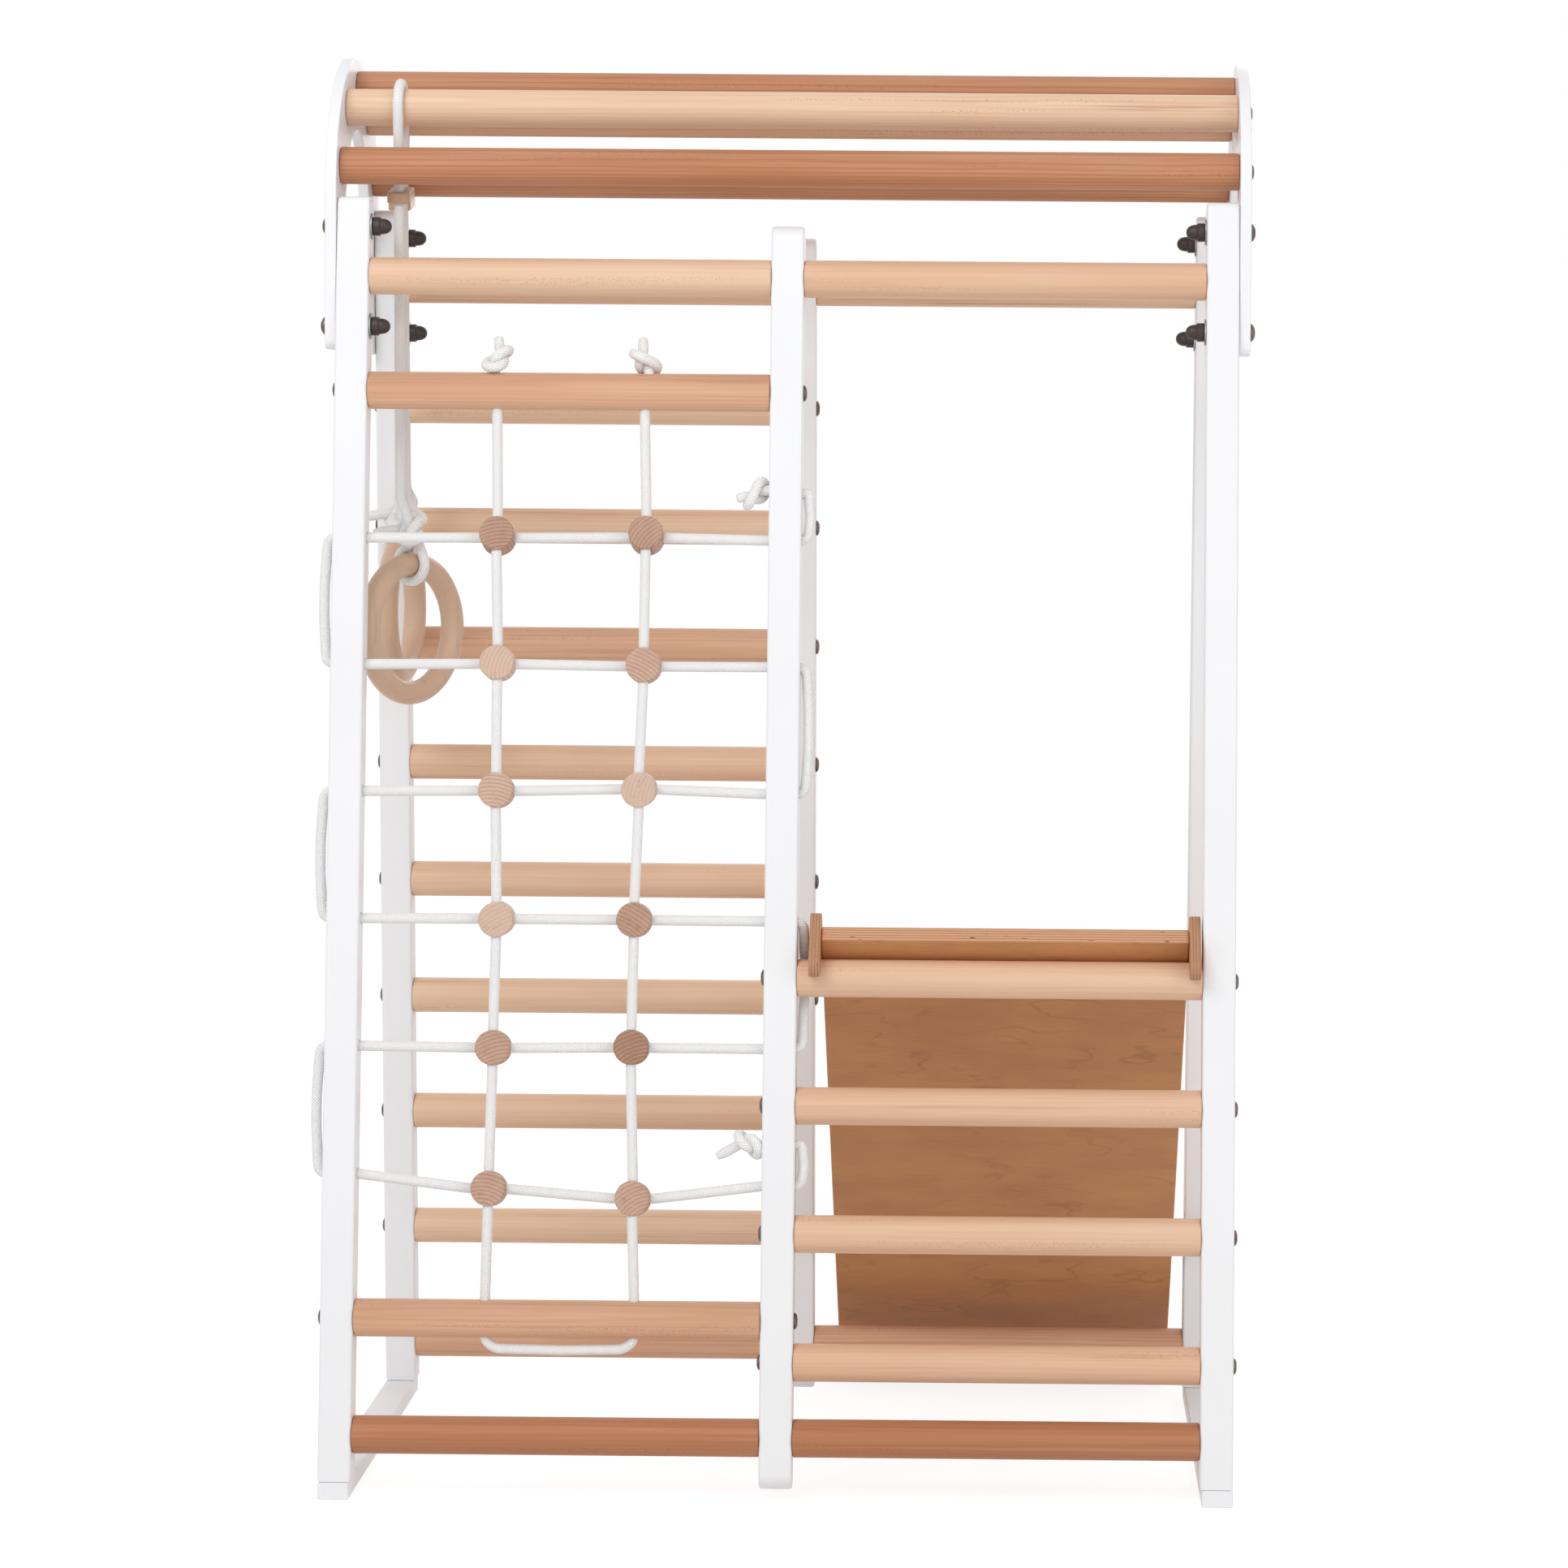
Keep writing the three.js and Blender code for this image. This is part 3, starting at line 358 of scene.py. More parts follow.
# Colours of the cord: the painted shade in the crevices between its strands, then its yarn
CORD = (0.36, 0.33, 0.32), (0.955, 0.95, 0.945)
CAP_PLASTIC = (0.030, 0.019, 0.017), (0.05, 0.034, 0.03)
FINISHES = {
    "white_wood": white_paint(*PAINT),
    "beech": wood("light_beech", *BEECH),
    "red_beech": wood("red_beech", *BEECH, rings=0.25, flecks=0.6),
    "disc_beech": wood("disc_end_grain", *END_GRAIN, rings=0.7, flecks=0.2),
    "pale_beech": wood("pale_beech", *PALE_BEECH, rings=0.05, flecks=0.15, roughness=0.36),
    "beech_ply": plywood("beech_plywood", *PLYWOOD),
    "rope": braided_cord(*CORD),
    "steel": metal("bolt_steel", (0.20, 0.155, 0.135), 0.32),
    "zinc": metal("washer_zinc", (0.50, 0.52, 0.53), 0.35),
    "cap": plastic(*CAP_PLASTIC),
}


# Meshes
dice = random.Random(7)
SHARP = math.radians(35)
LEAST_ROUND = 0.0002


def added(name, data):
    """A new object in the scene."""
    obj = bpy.data.objects.new(name, data)
    bpy.context.scene.collection.objects.link(obj)
    return obj


def meshed(points, faces):
    """A mesh from its points and faces."""
    mesh = bpy.data.meshes.new("part")
    mesh.from_pydata([tuple(p) for p in points], [], faces)
    return mesh


def turned(rings, sides=48, hexed=()):
    """A body turned round the x axis from (distance, radius) rings, with those counted in hexed six-sided."""
    points, faces = [], []
    for index, (x, radius) in enumerate(rings):
        for k in range(sides):
            angle = 2 * math.pi * k / sides
            reach = radius
            if index in hexed:
                reach = radius / math.cos((angle + math.pi / 6) % (math.pi / 3) - math.pi / 6)
            points.append((x, reach * math.cos(angle), reach * math.sin(angle)))
    for i in range(len(rings) - 1):
        for k in range(sides):
            a, b = i * sides + k, i * sides + (k + 1) % sides
            faces.append((a, b, b + sides, a + sides))
    faces.append(tuple(reversed(range(sides))))
    faces.append(tuple(range((len(rings) - 1) * sides, len(rings) * sides)))
    return meshed(points, faces)


def arc(y, z, radius, start, end, steps):
    """Points (y, z) along an arc from one angle in degrees to another."""
    angles = [math.radians(start + (end - start) * i / steps) for i in range(steps + 1)]
    return [(y + radius * math.cos(angle), z + radius * math.sin(angle)) for angle in angles]


def slab(outline, thick):
    """An outline in (y, z) with a thickness along x, centred on x = 0."""
    return stacked([[(x, y, z) for y, z in outline] for x in (-thick / 2, thick / 2)])


def stacked(sections):
    """A closed skin over sections of as many points each, with flat ends."""
    count = len(sections[0])
    faces = [tuple(reversed(range(count))), tuple(range(count * (len(sections) - 1), count * len(sections)))]
    for base in range(0, count * (len(sections) - 1), count):
        faces += [(base + k, base + (k + 1) % count, base + count + (k + 1) % count, base + count + k)
                  for k in range(count)]
    return meshed([point for section in sections for point in section], faces)


def drawn_in(corners, inset, steps=8):
    """An outline of corners (y, z, radius), counted anticlockwise, drawn in by inset and rounded."""
    points = []
    for before, here, after in zip(corners[-1:] + corners[:-1], corners, corners[1:] + corners[:1]):
        arriving = (Vector(here[:2]) - Vector(before[:2])).normalized()
        leaving = (Vector(after[:2]) - Vector(here[:2])).normalized()
        first, second = Vector((-arriving.y, arriving.x)), Vector((-leaving.y, leaving.x))
        radius = max(here[2] - inset, LEAST_ROUND)
        centre = Vector(here[:2]) + (first + second) * ((inset + radius) / (1 + first.dot(second)))
        start, sweep = math.degrees(math.atan2(-first.y, -first.x)), math.degrees(first.angle(second))
        points += arc(centre.x, centre.y, radius, start, start + sweep, steps)
    return points


def eased_slab(corners, thick, ease, steps=4):
    """A board with quarter-round edges, its outline given by corners (y, z, radius)."""
    turns = [math.pi / 2 * i / steps for i in range(steps + 1)]
    sections = [(-thick / 2 + ease - ease * math.cos(turn), ease - ease * math.sin(turn)) for turn in turns]
    sections += [(-x, inset) for x, inset in reversed(sections)]
    return stacked([[(x, y, z) for y, z in drawn_in(corners, inset)] for x, inset in sections])


def box_corners(y0, z0, y1, z1, low, high):
    """A board's four corners, with one radius for the two low ones and one for the two high ones."""
    return [(y0, z0, low), (y1, z0, low), (y1, z1, high), (y0, z1, high)]


def rod(dia, start, end, sides=32):
    """A round cutter between two points."""
    start, end = Vector(start), Vector(end)
    mesh = turned([(0, dia / 2), ((end - start).length, dia / 2)], sides)
    turn = Vector((1, 0, 0)).rotation_difference(end - start).to_matrix().to_4x4()
    mesh.transform(Matrix.Translation(start) @ turn)
    return mesh


def joined(meshes):
    """One mesh of several separate bodies."""
    whole = bmesh.new()
    for mesh in meshes:
        whole.from_mesh(mesh)
    made = bpy.data.meshes.new("part")
    whole.to_mesh(made)
    whole.free()
    return made


def worked(mesh, cutters=(), ease=0.0):
    """The mesh with its edges eased, its holes cut and its shading settled."""
    bench = added("bench", mesh)
    helpers = []
    if ease:
        bevel = bench.modifiers.new("ease", "BEVEL")
        bevel.width, bevel.segments, bevel.limit_method = ease, 3, "ANGLE"
        bevel.angle_limit = SHARP
    for cutter in cutters:
        helper = added("cutter", cutter)
        cut = bench.modifiers.new("cut", "BOOLEAN")
        cut.operation, cut.object, cut.solver = "DIFFERENCE", helper, "EXACT"
        helpers.append(helper)
    shading = bench.modifiers.new("shading", "WEIGHTED_NORMAL")
    shading.keep_sharp = True
    for polygon in mesh.polygons:
        polygon.use_smooth = True
    done = bpy.data.meshes.new_from_object(bench.evaluated_get(bpy.context.evaluated_depsgraph_get()))
    for item in [bench, *helpers]:
        bpy.data.objects.remove(item)
    return done


def timber(mesh, axes="xyz", plies=False, offset=None, tone=0.5, flecked=1.0):
    """Keeps each point's place in the timber it was cut from: along the grain, across it and into it.
    Two tones are for two rungs in one piece, left and right."""
    order = ["xyz".index(axis) for axis in axes]
    co = np.empty(len(mesh.vertices) * 3)
    mesh.vertices.foreach_get("co", co)
    co = co.reshape(-1, 3)[:, order]
    if offset is None:
        offset = [dice.uniform(0, 9), dice.uniform(0.03, 0.09), 0 if plies else dice.uniform(-0.05, 0.05)]
    tones = np.full(len(co), tone) if np.isscalar(tone) else np.where(co[:, 0] < 0, *tone)
    if not np.isscalar(tone):
        offset = np.array(offset) + (co[:, :1] > 0) * np.array([4.0, 0.02, 0.01])
    store = mesh.attributes.new("timber", "FLOAT_VECTOR", "POINT")
    store.data.foreach_set("vector", (co + np.array(offset)).astype(np.float32).ravel())
    mesh.attributes.new("tone", "FLOAT", "POINT").data.foreach_set("value", tones.astype(np.float32))
    mesh.attributes.new("flecked", "FLOAT", "POINT").data.foreach_set("value", [flecked] * len(co))
    if plies:
        edge = mesh.attributes.new("edge", "FLOAT", "FACE")
        normals = np.array([polygon.normal[order[2]] for polygon in mesh.polygons])
        edge.data.foreach_set("value", (np.abs(normals) < 0.7).astype(np.float32))
    return mesh


def piece(name, mesh, finish, body="frame", place=Matrix(), replaces=()):
    """A finished piece in its place, riding on its body."""
    for polygon in mesh.polygons:
        polygon.use_smooth = True
    mesh.set_sharp_from_angle(angle=SHARP)
    if "timber" not in mesh.attributes:
        timber(mesh)
    mesh.name = name
    mesh.materials.clear()
    mesh.materials.append(FINISHES[finish])
    obj = added(name, mesh)
    obj.matrix_world = place
    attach(obj, body)
    if replaces:
        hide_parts(*replaces)


# Posts and base
def post_mesh(corners, bores):
    """A post, bored through at the heights of its ropes."""
    cutters = [rod(BORE, (-POST, 0, along(z)), (POST, 0, along(z))) for z in bores]
    return timber(worked(eased_slab(corners, POST, POST_EASE), cutters), "zxy")


def foot_z(y, side):
    """Where a leaning post's foot meets the base board, along the post."""
    return (RUNNER_THICK + GAP - y * math.sin(side * LEAN)) / math.cos(LEAN)


for name, side, x, bores in [("front_post_left", -1, -BAY, ROWS_Z), ("front_post_right", -1, BAY, ()),
                             ("rear_post_left", 1, -BAY, ()), ("rear_post_right", 1, BAY, ())]:
    half, top = POST / 2, along(OUTER_TOP)
    corners = [(-half, foot_z(-half, side), FOOT_ROUND), (half, foot_z(half, side), FOOT_ROUND),
               (half, top, OUTER_ROUND), (-half, top, OUTER_ROUND)]
    piece(name + "_painted", post_mesh(corners, bores), "white_wood",
          place=LEANING[side] @ Matrix.Translation((x, 0, 0)), replaces=[name])
for name, side, bores in [("front_post_centre", -1, [*CENTRE_ROWS_Z, *KNOTS_Z]), ("rear_post_centre", 1, ())]:
    corners = box_corners(-POST / 2, along(CENTRE_FOOT), POST / 2, along(CENTRE_TOP), CENTRE_ROUND,
                          CENTRE_ROUND)
    piece(name + "_painted", post_mesh(corners, bores), "white_wood", place=LEANING[side],
          replaces=[name])

runner_half = post_y(RUNNER_THICK) + POST / 2 / math.cos(LEAN)
for name, side in [("left", -1), ("right", 1)]:
    corners = box_corners(-runner_half, 0, runner_half, RUNNER_THICK, FOOT_ROUND, FOOT_ROUND)
    mesh = timber(worked(eased_slab(corners, RUNNER_WIDTH, RUNNER_EASE)), "yxz")
    piece(f"base_runner_{name}_painted", mesh, "white_wood",
          place=Matrix.Translation((side * (OUTER - RUNNER_WIDTH / 2), SHIFT, 0)),
          replaces=[f"base_runner_{name}"])


# Rungs
def dowel(start, end):
    """A rung's wood, between two places along x."""
    radius = RUNG / 2
    return turned([(start, radius - RUNG_EASE), (start + RUNG_EASE, radius), (end - RUNG_EASE, radius),
                   (end, radius - RUNG_EASE)])


def bolt_head(x, way):
    """A low domed head with a six-sided socket, its seat at x."""
    radius = HEAD / 2
    rings = [(0, radius), (0.0006, radius), (0.0016, radius * 0.94), (0.0026, radius * 0.78),
             (0.0033, radius * 0.58), (HEAD_RISE, radius * 0.42), (HEAD_RISE, 0.0029), (0.0012, 0.0027)]
    mesh = turned(rings, 36, hexed=(6, 7))
    mesh.transform(Matrix.Translation((x, 0, 0)) @ Matrix.Rotation(0 if way > 0 else math.pi, 4, "Z"))
    return mesh


# The rungs' tones, from 0, light, over 0.5 to 1, red; those of a pair from left to right
PAIR_TONES = {"front_low": (1.0, 1.01), "front_top": (0.2, 0.38), "rear_low": (0.55, 0.55),
              "rear_top": (0.3, 0.3)}
NET_RUNG_TONES = (0.61, 0.64)
TREAD_TONES = (0.38, 0.31, 0.33, 0.28)
BAR_TONES = (0.12, 0.2, 0.08, 0.2, 0.26, 0.45, 0.14, 0.1)
ARCH_TONES = (0.93, 0.1, 0.9, 0.36, 0.88)

for side, where in [(-1, "front"), (1, "rear")]:
    for name, z, slot in [("low", LOW_Z, "red_beech"), ("top", TOP_Z, "beech")]:
        node = f"{where}_{name}_rungs"
        mesh = joined([dowel(-INNER + GAP, -POST / 2 - GAP), dowel(POST / 2 + GAP, INNER - GAP)])
        piece(node + "_dowels", timber(mesh, tone=PAIR_TONES[f"{where}_{name}"]), slot,
              place=LEANING[side] @ Matrix.Translation((0, 0, along(z))), replaces=[node])


def bolted(node, place, tone, slot="beech", span=BAY - POST, through=POST, holes=()):
    """A rung between two boards a span apart, with a bolt from outside through each of them."""
    half = span / 2 - GAP
    mesh = dowel(-half, half)
    if holes:
        mesh = worked(mesh, [rod(BORE, (x, 0, -RUNG), (x, 0, RUNG)) for x in holes])
    piece(node + "_dowel", timber(mesh, tone=tone), slot, place=place, replaces=[node])
    seat = half + 2 * GAP + through
    heads = joined([bolt_head(seat, 1), bolt_head(-seat, -1)])
    piece(node + "_bolts", heads, "steel", place=place)


for name, z, tone in zip(("net_low_rung", "net_top_rung"), NET_RUNGS_Z, NET_RUNG_TONES):
    bolted(name, LEANING[-1] @ Matrix.Translation((-BAY / 2, 0, along(z))), tone,
           holes=[x + BAY / 2 for x in NET_HOLES_X])
for i, (z, tone) in enumerate(zip(TREADS_Z, TREAD_TONES)):
    bolted(f"ladder_rung_{i + 1}", LEANING[-1] @ Matrix.Translation((BAY / 2, 0, along(z))), tone)
for i, (z, tone) in enumerate(zip(BARS_Z, BAR_TONES)):
    bolted(f"wall_bar_{i + 1}", LEANING[1] @ Matrix.Translation((-BAY / 2, 0, along(z))), tone)

# Arch
PLATE_INNER = OUTER + GAP
ARCH_RUNGS = [(ARCH_CIRCLE * math.sin(math.radians(ARCH_STEP * step)),
               ARCH_Z + ARCH_CIRCLE * math.cos(math.radians(ARCH_STEP * step))) for step in (-2, -1, 0, 1, 2)]
for i, ((y, z), tone) in enumerate(zip(ARCH_RUNGS, ARCH_TONES)):
    bolted(f"arch_rung_{i + 1}", Matrix.Translation((0, SHIFT + y, z)), tone, "red_beech", 2 * PLATE_INNER,
           ARCH_THICK)


def arch_outline():
    """The plate's outline in (y, z) round the middle of its crown."""
    foot, knee_z = ARCH_FOOT_Z - ARCH_Z, ARCH_KNEE_Z - ARCH_Z
    knee = math.degrees(math.atan2(knee_z, ARCH_LEG) + math.acos(ARCH_INNER / math.hypot(knee_z, ARCH_LEG)))
    corner = ARCH_OUTER - ARCH_CORNER
    return [(ARCH_LEG, foot), *arc(corner, foot + ARCH_CORNER, ARCH_CORNER, 270, 360, 8),
            *arc(0, 0, ARCH_OUTER, 0, 180, 72), *arc(-corner, foot + ARCH_CORNER, ARCH_CORNER, 180, 270, 8),
            (-ARCH_LEG, foot), (-ARCH_LEG, knee_z), *arc(0, 0, ARCH_INNER, 180 - knee, knee, 48),
            (ARCH_LEG, knee_z)]


# Profiles of the arch bolts' heads and caps: distance along the bolt and radius
ARCH_HEAD = [(0.001, 0.010), (-0.0012, 0.0098), (-0.003, 0.0082), (-0.0043, 0.0058), (-0.005, 0.0042),
             (-0.005, 0.003), (-0.002, 0.003)]
ARCH_CAP = [(0, 0.0094), (0.0008, 0.010), (0.0072, 0.010), (0.008, 0.0094), (0.0084, 0.0084),
            (0.0116, 0.0082), (0.0143, 0.0076), (0.0166, 0.0065), (0.0184, 0.0049), (0.0195, 0.003),
            (0.0199, 0.0012)]
WASHER_THICK, WASHER_EASE, WASHER_RADIUS, WASHER_HOLE = 0.0015, 0.0003, 0.014, 0.006


def arch_bolt_parts():
    """Head, washer and cap of one bolt, distances counted inwards from the plate's outer face."""
    seat = ARCH_THICK + POST + 2 * GAP
    cap = seat + WASHER_THICK
    rim = WASHER_RADIUS - WASHER_EASE
    washer = [(seat, WASHER_HOLE), (seat, rim), (seat + WASHER_EASE, WASHER_RADIUS),
              (cap - WASHER_EASE, WASHER_RADIUS), (cap, rim)]
    dome = [(cap + rise, radius) for rise, radius in ARCH_CAP]
    return [(turned(ARCH_HEAD, 36, hexed=(5, 6)), "steel"), (turned(washer), "zinc"), (turned(dome), "cap")]


for name, side in [("left", -1), ("right", 1)]:
    middle = side * (PLATE_INNER + ARCH_THICK / 2)
    mesh = timber(worked(slab(arch_outline(), ARCH_THICK), ease=ARCH_EASE), "zyx")
    piece(f"arch_plate_{name}_painted", mesh, "white_wood", place=Matrix.Translation((middle, SHIFT, ARCH_Z)),
          replaces=[f"arch_plate_{name}"])
    groups = {"steel": [], "zinc": [], "cap": []}
    inwards = Matrix.Rotation(math.pi if side > 0 else 0, 4, "Z")
    for z in ARCH_BOLTS_Z:
        for way in (-1, 1):
            seat = Matrix.Translation((side * (PLATE_INNER + ARCH_THICK), SHIFT + way * post_y(z), z))
            for mesh, finish in arch_bolt_parts():
                mesh.transform(seat @ inwards)
                groups[finish].append(mesh)
    for finish, part in [("steel", "heads"), ("zinc", "washers"), ("cap", "caps")]:
        piece(f"arch_bolt_{part}_{name}", joined(groups[finish]), finish)

# Slide: y runs down the slope and z square to the bed, from the axis of the rung
rung_z = TREADS_Z[-1]
bed_under, bed_top = RUNG / 2 + GAP, RUNG / 2 + GAP + SLIDE_THICK
slide_run = post_y(rung_z) + FOOT_SPREAD / 2 + SLIDE_FOOT_OUT
SLOPE = math.atan2(rung_z, slide_run) + math.asin(bed_under / math.hypot(rung_z, slide_run))
SLIDE = (Matrix.Translation((BAY / 2 + SLIDE_SHIFT, SHIFT - post_y(rung_z), rung_z))
         @ Matrix.Rotation(-SLOPE, 4, "X"))
bed_floor = (rung_z + math.cos(SLOPE) * bed_under) / math.sin(SLOPE)
bed_end = bed_floor + FOOT_FLAT * math.cos(SLOPE)
bed_corners = [(-SLIDE_OVERHANG, bed_under), (bed_floor, bed_under),
               (bed_end, bed_under + FOOT_FLAT * math.sin(SLOPE)), (bed_end, bed_top),
               (-SLIDE_OVERHANG, bed_top)]
bed = worked(eased_slab([(*corner, FOOT_ROUND) for corner in bed_corners], SLIDE_WIDTH, SLIDE_EASE))
piece("slide_bed_plywood", timber(bed, "xyz", True, [4, 0, 0], 0), "beech_ply", "slide", SLIDE,
      ["slide_bed"])


def hook_outline():
    """A hook's outline in (y, z) round the axis of its rung, open below and towards the slide's foot."""
    notch = RUNG / 2 + HOOK_CLEAR
    half = (HOOK_FRONT - notch) / 2
    return [*arc(0, 0, notch, 180, 90, 24), (HOOK_REAR, notch),
            *arc(HOOK_REAR - HOOK_ROUND, HOOK_TOP - HOOK_ROUND, HOOK_ROUND, 0, 90, 10),
            *arc(-HOOK_FRONT + HOOK_ROUND, HOOK_TOP - HOOK_ROUND, HOOK_ROUND, 90, 180, 10),
            *arc(-(HOOK_FRONT + notch) / 2, half - HOOK_DROP, half, 180, 360, 20)]


for name, side in [("left", -1), ("right", 1)]:
    corners = box_corners(RAIL_START, bed_top + GAP, bed_end - RAIL_END_GAP, bed_top + GAP + RAIL_HEIGHT,
                          FOOT_ROUND, RAIL_HEIGHT * 0.8)
    rail = worked(eased_slab(corners, RAIL_THICK, SLIDE_EASE))
    timber(rail, "yzx", True, [2 + side, 0.02, 0], 0.3)
    piece(f"slide_side_rail_{name}_plywood", rail, "beech_ply", "slide",
          SLIDE @ Matrix.Translation((side * (SLIDE_WIDTH - RAIL_THICK) / 2, 0, 0)),
          [f"slide_side_rail_{name}"])
    hook = worked(slab(hook_outline(), HOOK_THICK), ease=HOOK_EASE)
    timber(hook, "zyx", True, [5 + side, 0.01, 0], 0.7)
    piece(f"slide_hook_{name}_plywood", hook, "beech_ply", "slide",
          SLIDE @ Matrix.Translation((side * (SLIDE_WIDTH / 2 + GAP + HOOK_THICK / 2), 0, 0)),
          [f"slide_hook_{name}"])


# Cords
def rounded(corners, radius):
    """A route with its corners rounded."""
    corners = [Vector(corner) for corner in corners]
    points = [corners[0]]
    for before, here, after in zip(corners, corners[1:], corners[2:]):
        arriving, leaving = (here - before).normalized(), (after - here).normalized()
        turn = arriving.angle(leaving)
        if turn < math.pi / 5:
            points.append(here)
            continue
        centre = here + (leaving - arriving).normalized() * (radius / math.cos(turn / 2))
        start = here - arriving * radius * math.tan(turn / 2) - centre
        end = here + leaving * radius * math.tan(turn / 2) - centre
        for k in range(9):
            share = k / 8
            points.append(centre + start * (math.sin((1 - share) * turn) / math.sin(turn))
                          + end * (math.sin(share * turn) / math.sin(turn)))
    points.append(corners[-1])
    return evened(points)


def evened(points, step=0.003, passes=3):
    """Points at even steps along a route, lightly smoothed."""
    points = np.array([tuple(p) for p in points])
    gaps = np.linalg.norm(np.diff(points, axis=0), axis=1)
    reach = np.concatenate([[0], np.cumsum(gaps)])
    count = max(int(reach[-1] / step), 8)
    marks = np.linspace(0, reach[-1], count)
    points = np.stack([np.interp(marks, reach, points[:, k]) for k in range(3)], axis=1)
    for _ in range(passes):
        points[1:-1] = points[1:-1] * 0.5 + (points[:-2] + points[2:]) * 0.25
    return points


def overhand(dia, reach=0.045, count=110, rounds=500):
    """The middle of an overhand knot along the x axis. A loosely tied one is drawn together like a rubber
    band, while strands that touch push each other apart."""
    t = np.linspace(-2.15, 2.15, count)
    loose = np.stack([t ** 3 - 3 * t, t ** 4 - 4 * t ** 2, t ** 5 / 5 - 2 * t], axis=1) * dia * 0.8
    axis = loose[-1] - loose[0]
    axis /= np.linalg.norm(axis)
    side = np.array([0.0, 1.0, 0.0])
    points = np.stack([loose @ axis, loose @ side, loose @ np.cross(axis, side)], axis=1)
    points -= (points[0] + points[-1]) / 2
    points = np.concatenate([[[-reach, 0, 0]], points, [[reach, 0, 0]]])
    first, second = np.triu_indices(count, 1)
    for _ in range(rounds):
        marks = np.concatenate([[0], np.cumsum(np.linalg.norm(np.diff(points, axis=0), axis=1))])
        even = np.linspace(0, marks[-1], count)
        points = np.stack([np.interp(even, marks, points[:, k]) for k in range(3)], axis=1)
        points[1:-1] += ((points[:-2] + points[2:]) / 2 - points[1:-1]) * 0.5
        points[1:-1, 1:] -= points[1:-1, 1:].mean(axis=0) * 0.3
        distant = (second - first) * even[1] > dia * 1.6
        for _ in range(4):
            a, b = first[distant], second[distant]
            apart = points[b] - points[a]
            length = np.linalg.norm(apart, axis=1)
            near = length < dia
            push = apart[near] * ((dia - length[near]) / np.maximum(length[near], 1e-9) / 2)[:, None]
            moves, hits = np.zeros_like(points), np.zeros(count)
            for ends, way in ((a[near], -1), (b[near], 1)):
                np.add.at(moves, ends, push * way)
                np.add.at(hits, ends, 1)
            points[1:-1] += (moves / np.maximum(hits, 1)[:, None])[1:-1]
    return points


KNOT = overhand(ROPE * 0.88)


def knotted(at, towards, roll=0, back=0.014, tail=0.024, droop=0.0, stiff=0.008):
    """A knot's points from where its rope comes in to the tip of its tail. The tail leaves the knot over a
    stiff stretch and then bends down by droop."""
    turn = Vector((1, 0, 0)).rotation_difference(Vector(towards)).to_matrix().to_4x4()
    place = Matrix.Translation(at) @ turn @ Matrix.Rotation(math.radians(roll), 4, "X")
    kept = KNOT[(KNOT[:, 0] > -back) & (KNOT[:, 0] < tail)]
    moved = [place @ Vector(point) for point in kept]
    return [point - Vector((0, 0, droop * max(kept[i][0] - stiff, 0))) for i, point in enumerate(moved)]


def tied(first, corners, radius, last):
    """A rope's points from one knot along rounded corners into another knot."""
    return [*evened(reversed(first), FINE_STEP, 0), *rounded(corners, radius), *evened(last, FINE_STEP, 0)]


# A cut end, from its tip inwards: how far beyond the cord's last point in diameters, with the share of its
# radius there, and then the shares at its last three points
CORD_END, CORD_MELTED = [(0.16, 0.42), (0.12, 0.66), (0.05, 0.8)], [0.84, 0.88, 0.93]


def cord_mesh(points, dia=ROPE, sides=20):
    """A tube along even points, with round ends, and a UV map of its length and turn for the braid."""
    tangents = np.gradient(points, axis=0)
    tangents /= np.linalg.norm(tangents, axis=1)[:, None]
    across = np.cross(tangents[0], (0.31, 0.87, 0.38))
    across /= np.linalg.norm(across)
    frames = []
    for tangent in tangents:
        across = across - tangent * np.dot(across, tangent)
        across /= np.linalg.norm(across)
        frames.append((across, np.cross(tangent, across)))
    last = len(points) - 1
    stations = [(0, -dia * ahead, share) for ahead, share in CORD_END]
    stations += [(i, 0, [*CORD_MELTED, 1][min(i, last - i, 3)]) for i in range(len(points))]
    stations += [(last, dia * ahead, share) for ahead, share in reversed(CORD_END)]
    reach = np.concatenate([[0], np.cumsum(np.linalg.norm(np.diff(points, axis=0), axis=1))])
    rings, marks = [], []
    for index, ahead, share in stations:
        first, second = frames[index]
        centre = points[index] + tangents[index] * ahead
        marks.append(reach[index] + ahead)
        for k in range(sides):
            angle = 2 * math.pi * k / sides
            rings.append(centre + (first * math.cos(angle) + second * math.sin(angle)) * (dia / 2 * share))
    faces, uvs = [], []
    for i in range(len(stations) - 1):
        for k in range(sides):
            a, b = i * sides + k, i * sides + (k + 1) % sides
            faces.append((a, b, b + sides, a + sides))
            low, high, left, right = marks[i], marks[i + 1], k / sides, (k + 1) / sides
            uvs += [low, left, low, right, high, right, high, left]
    faces.append(tuple(reversed(range(sides))))
    faces.append(tuple(range((len(stations) - 1) * sides, len(stations) * sides)))
    uvs += [marks[0], 0] * sides + [marks[-1], 0] * sides
    mesh = meshed(rings, faces)
    mesh.uv_layers.new(name="lay").data.foreach_set("uv", uvs)
    return mesh


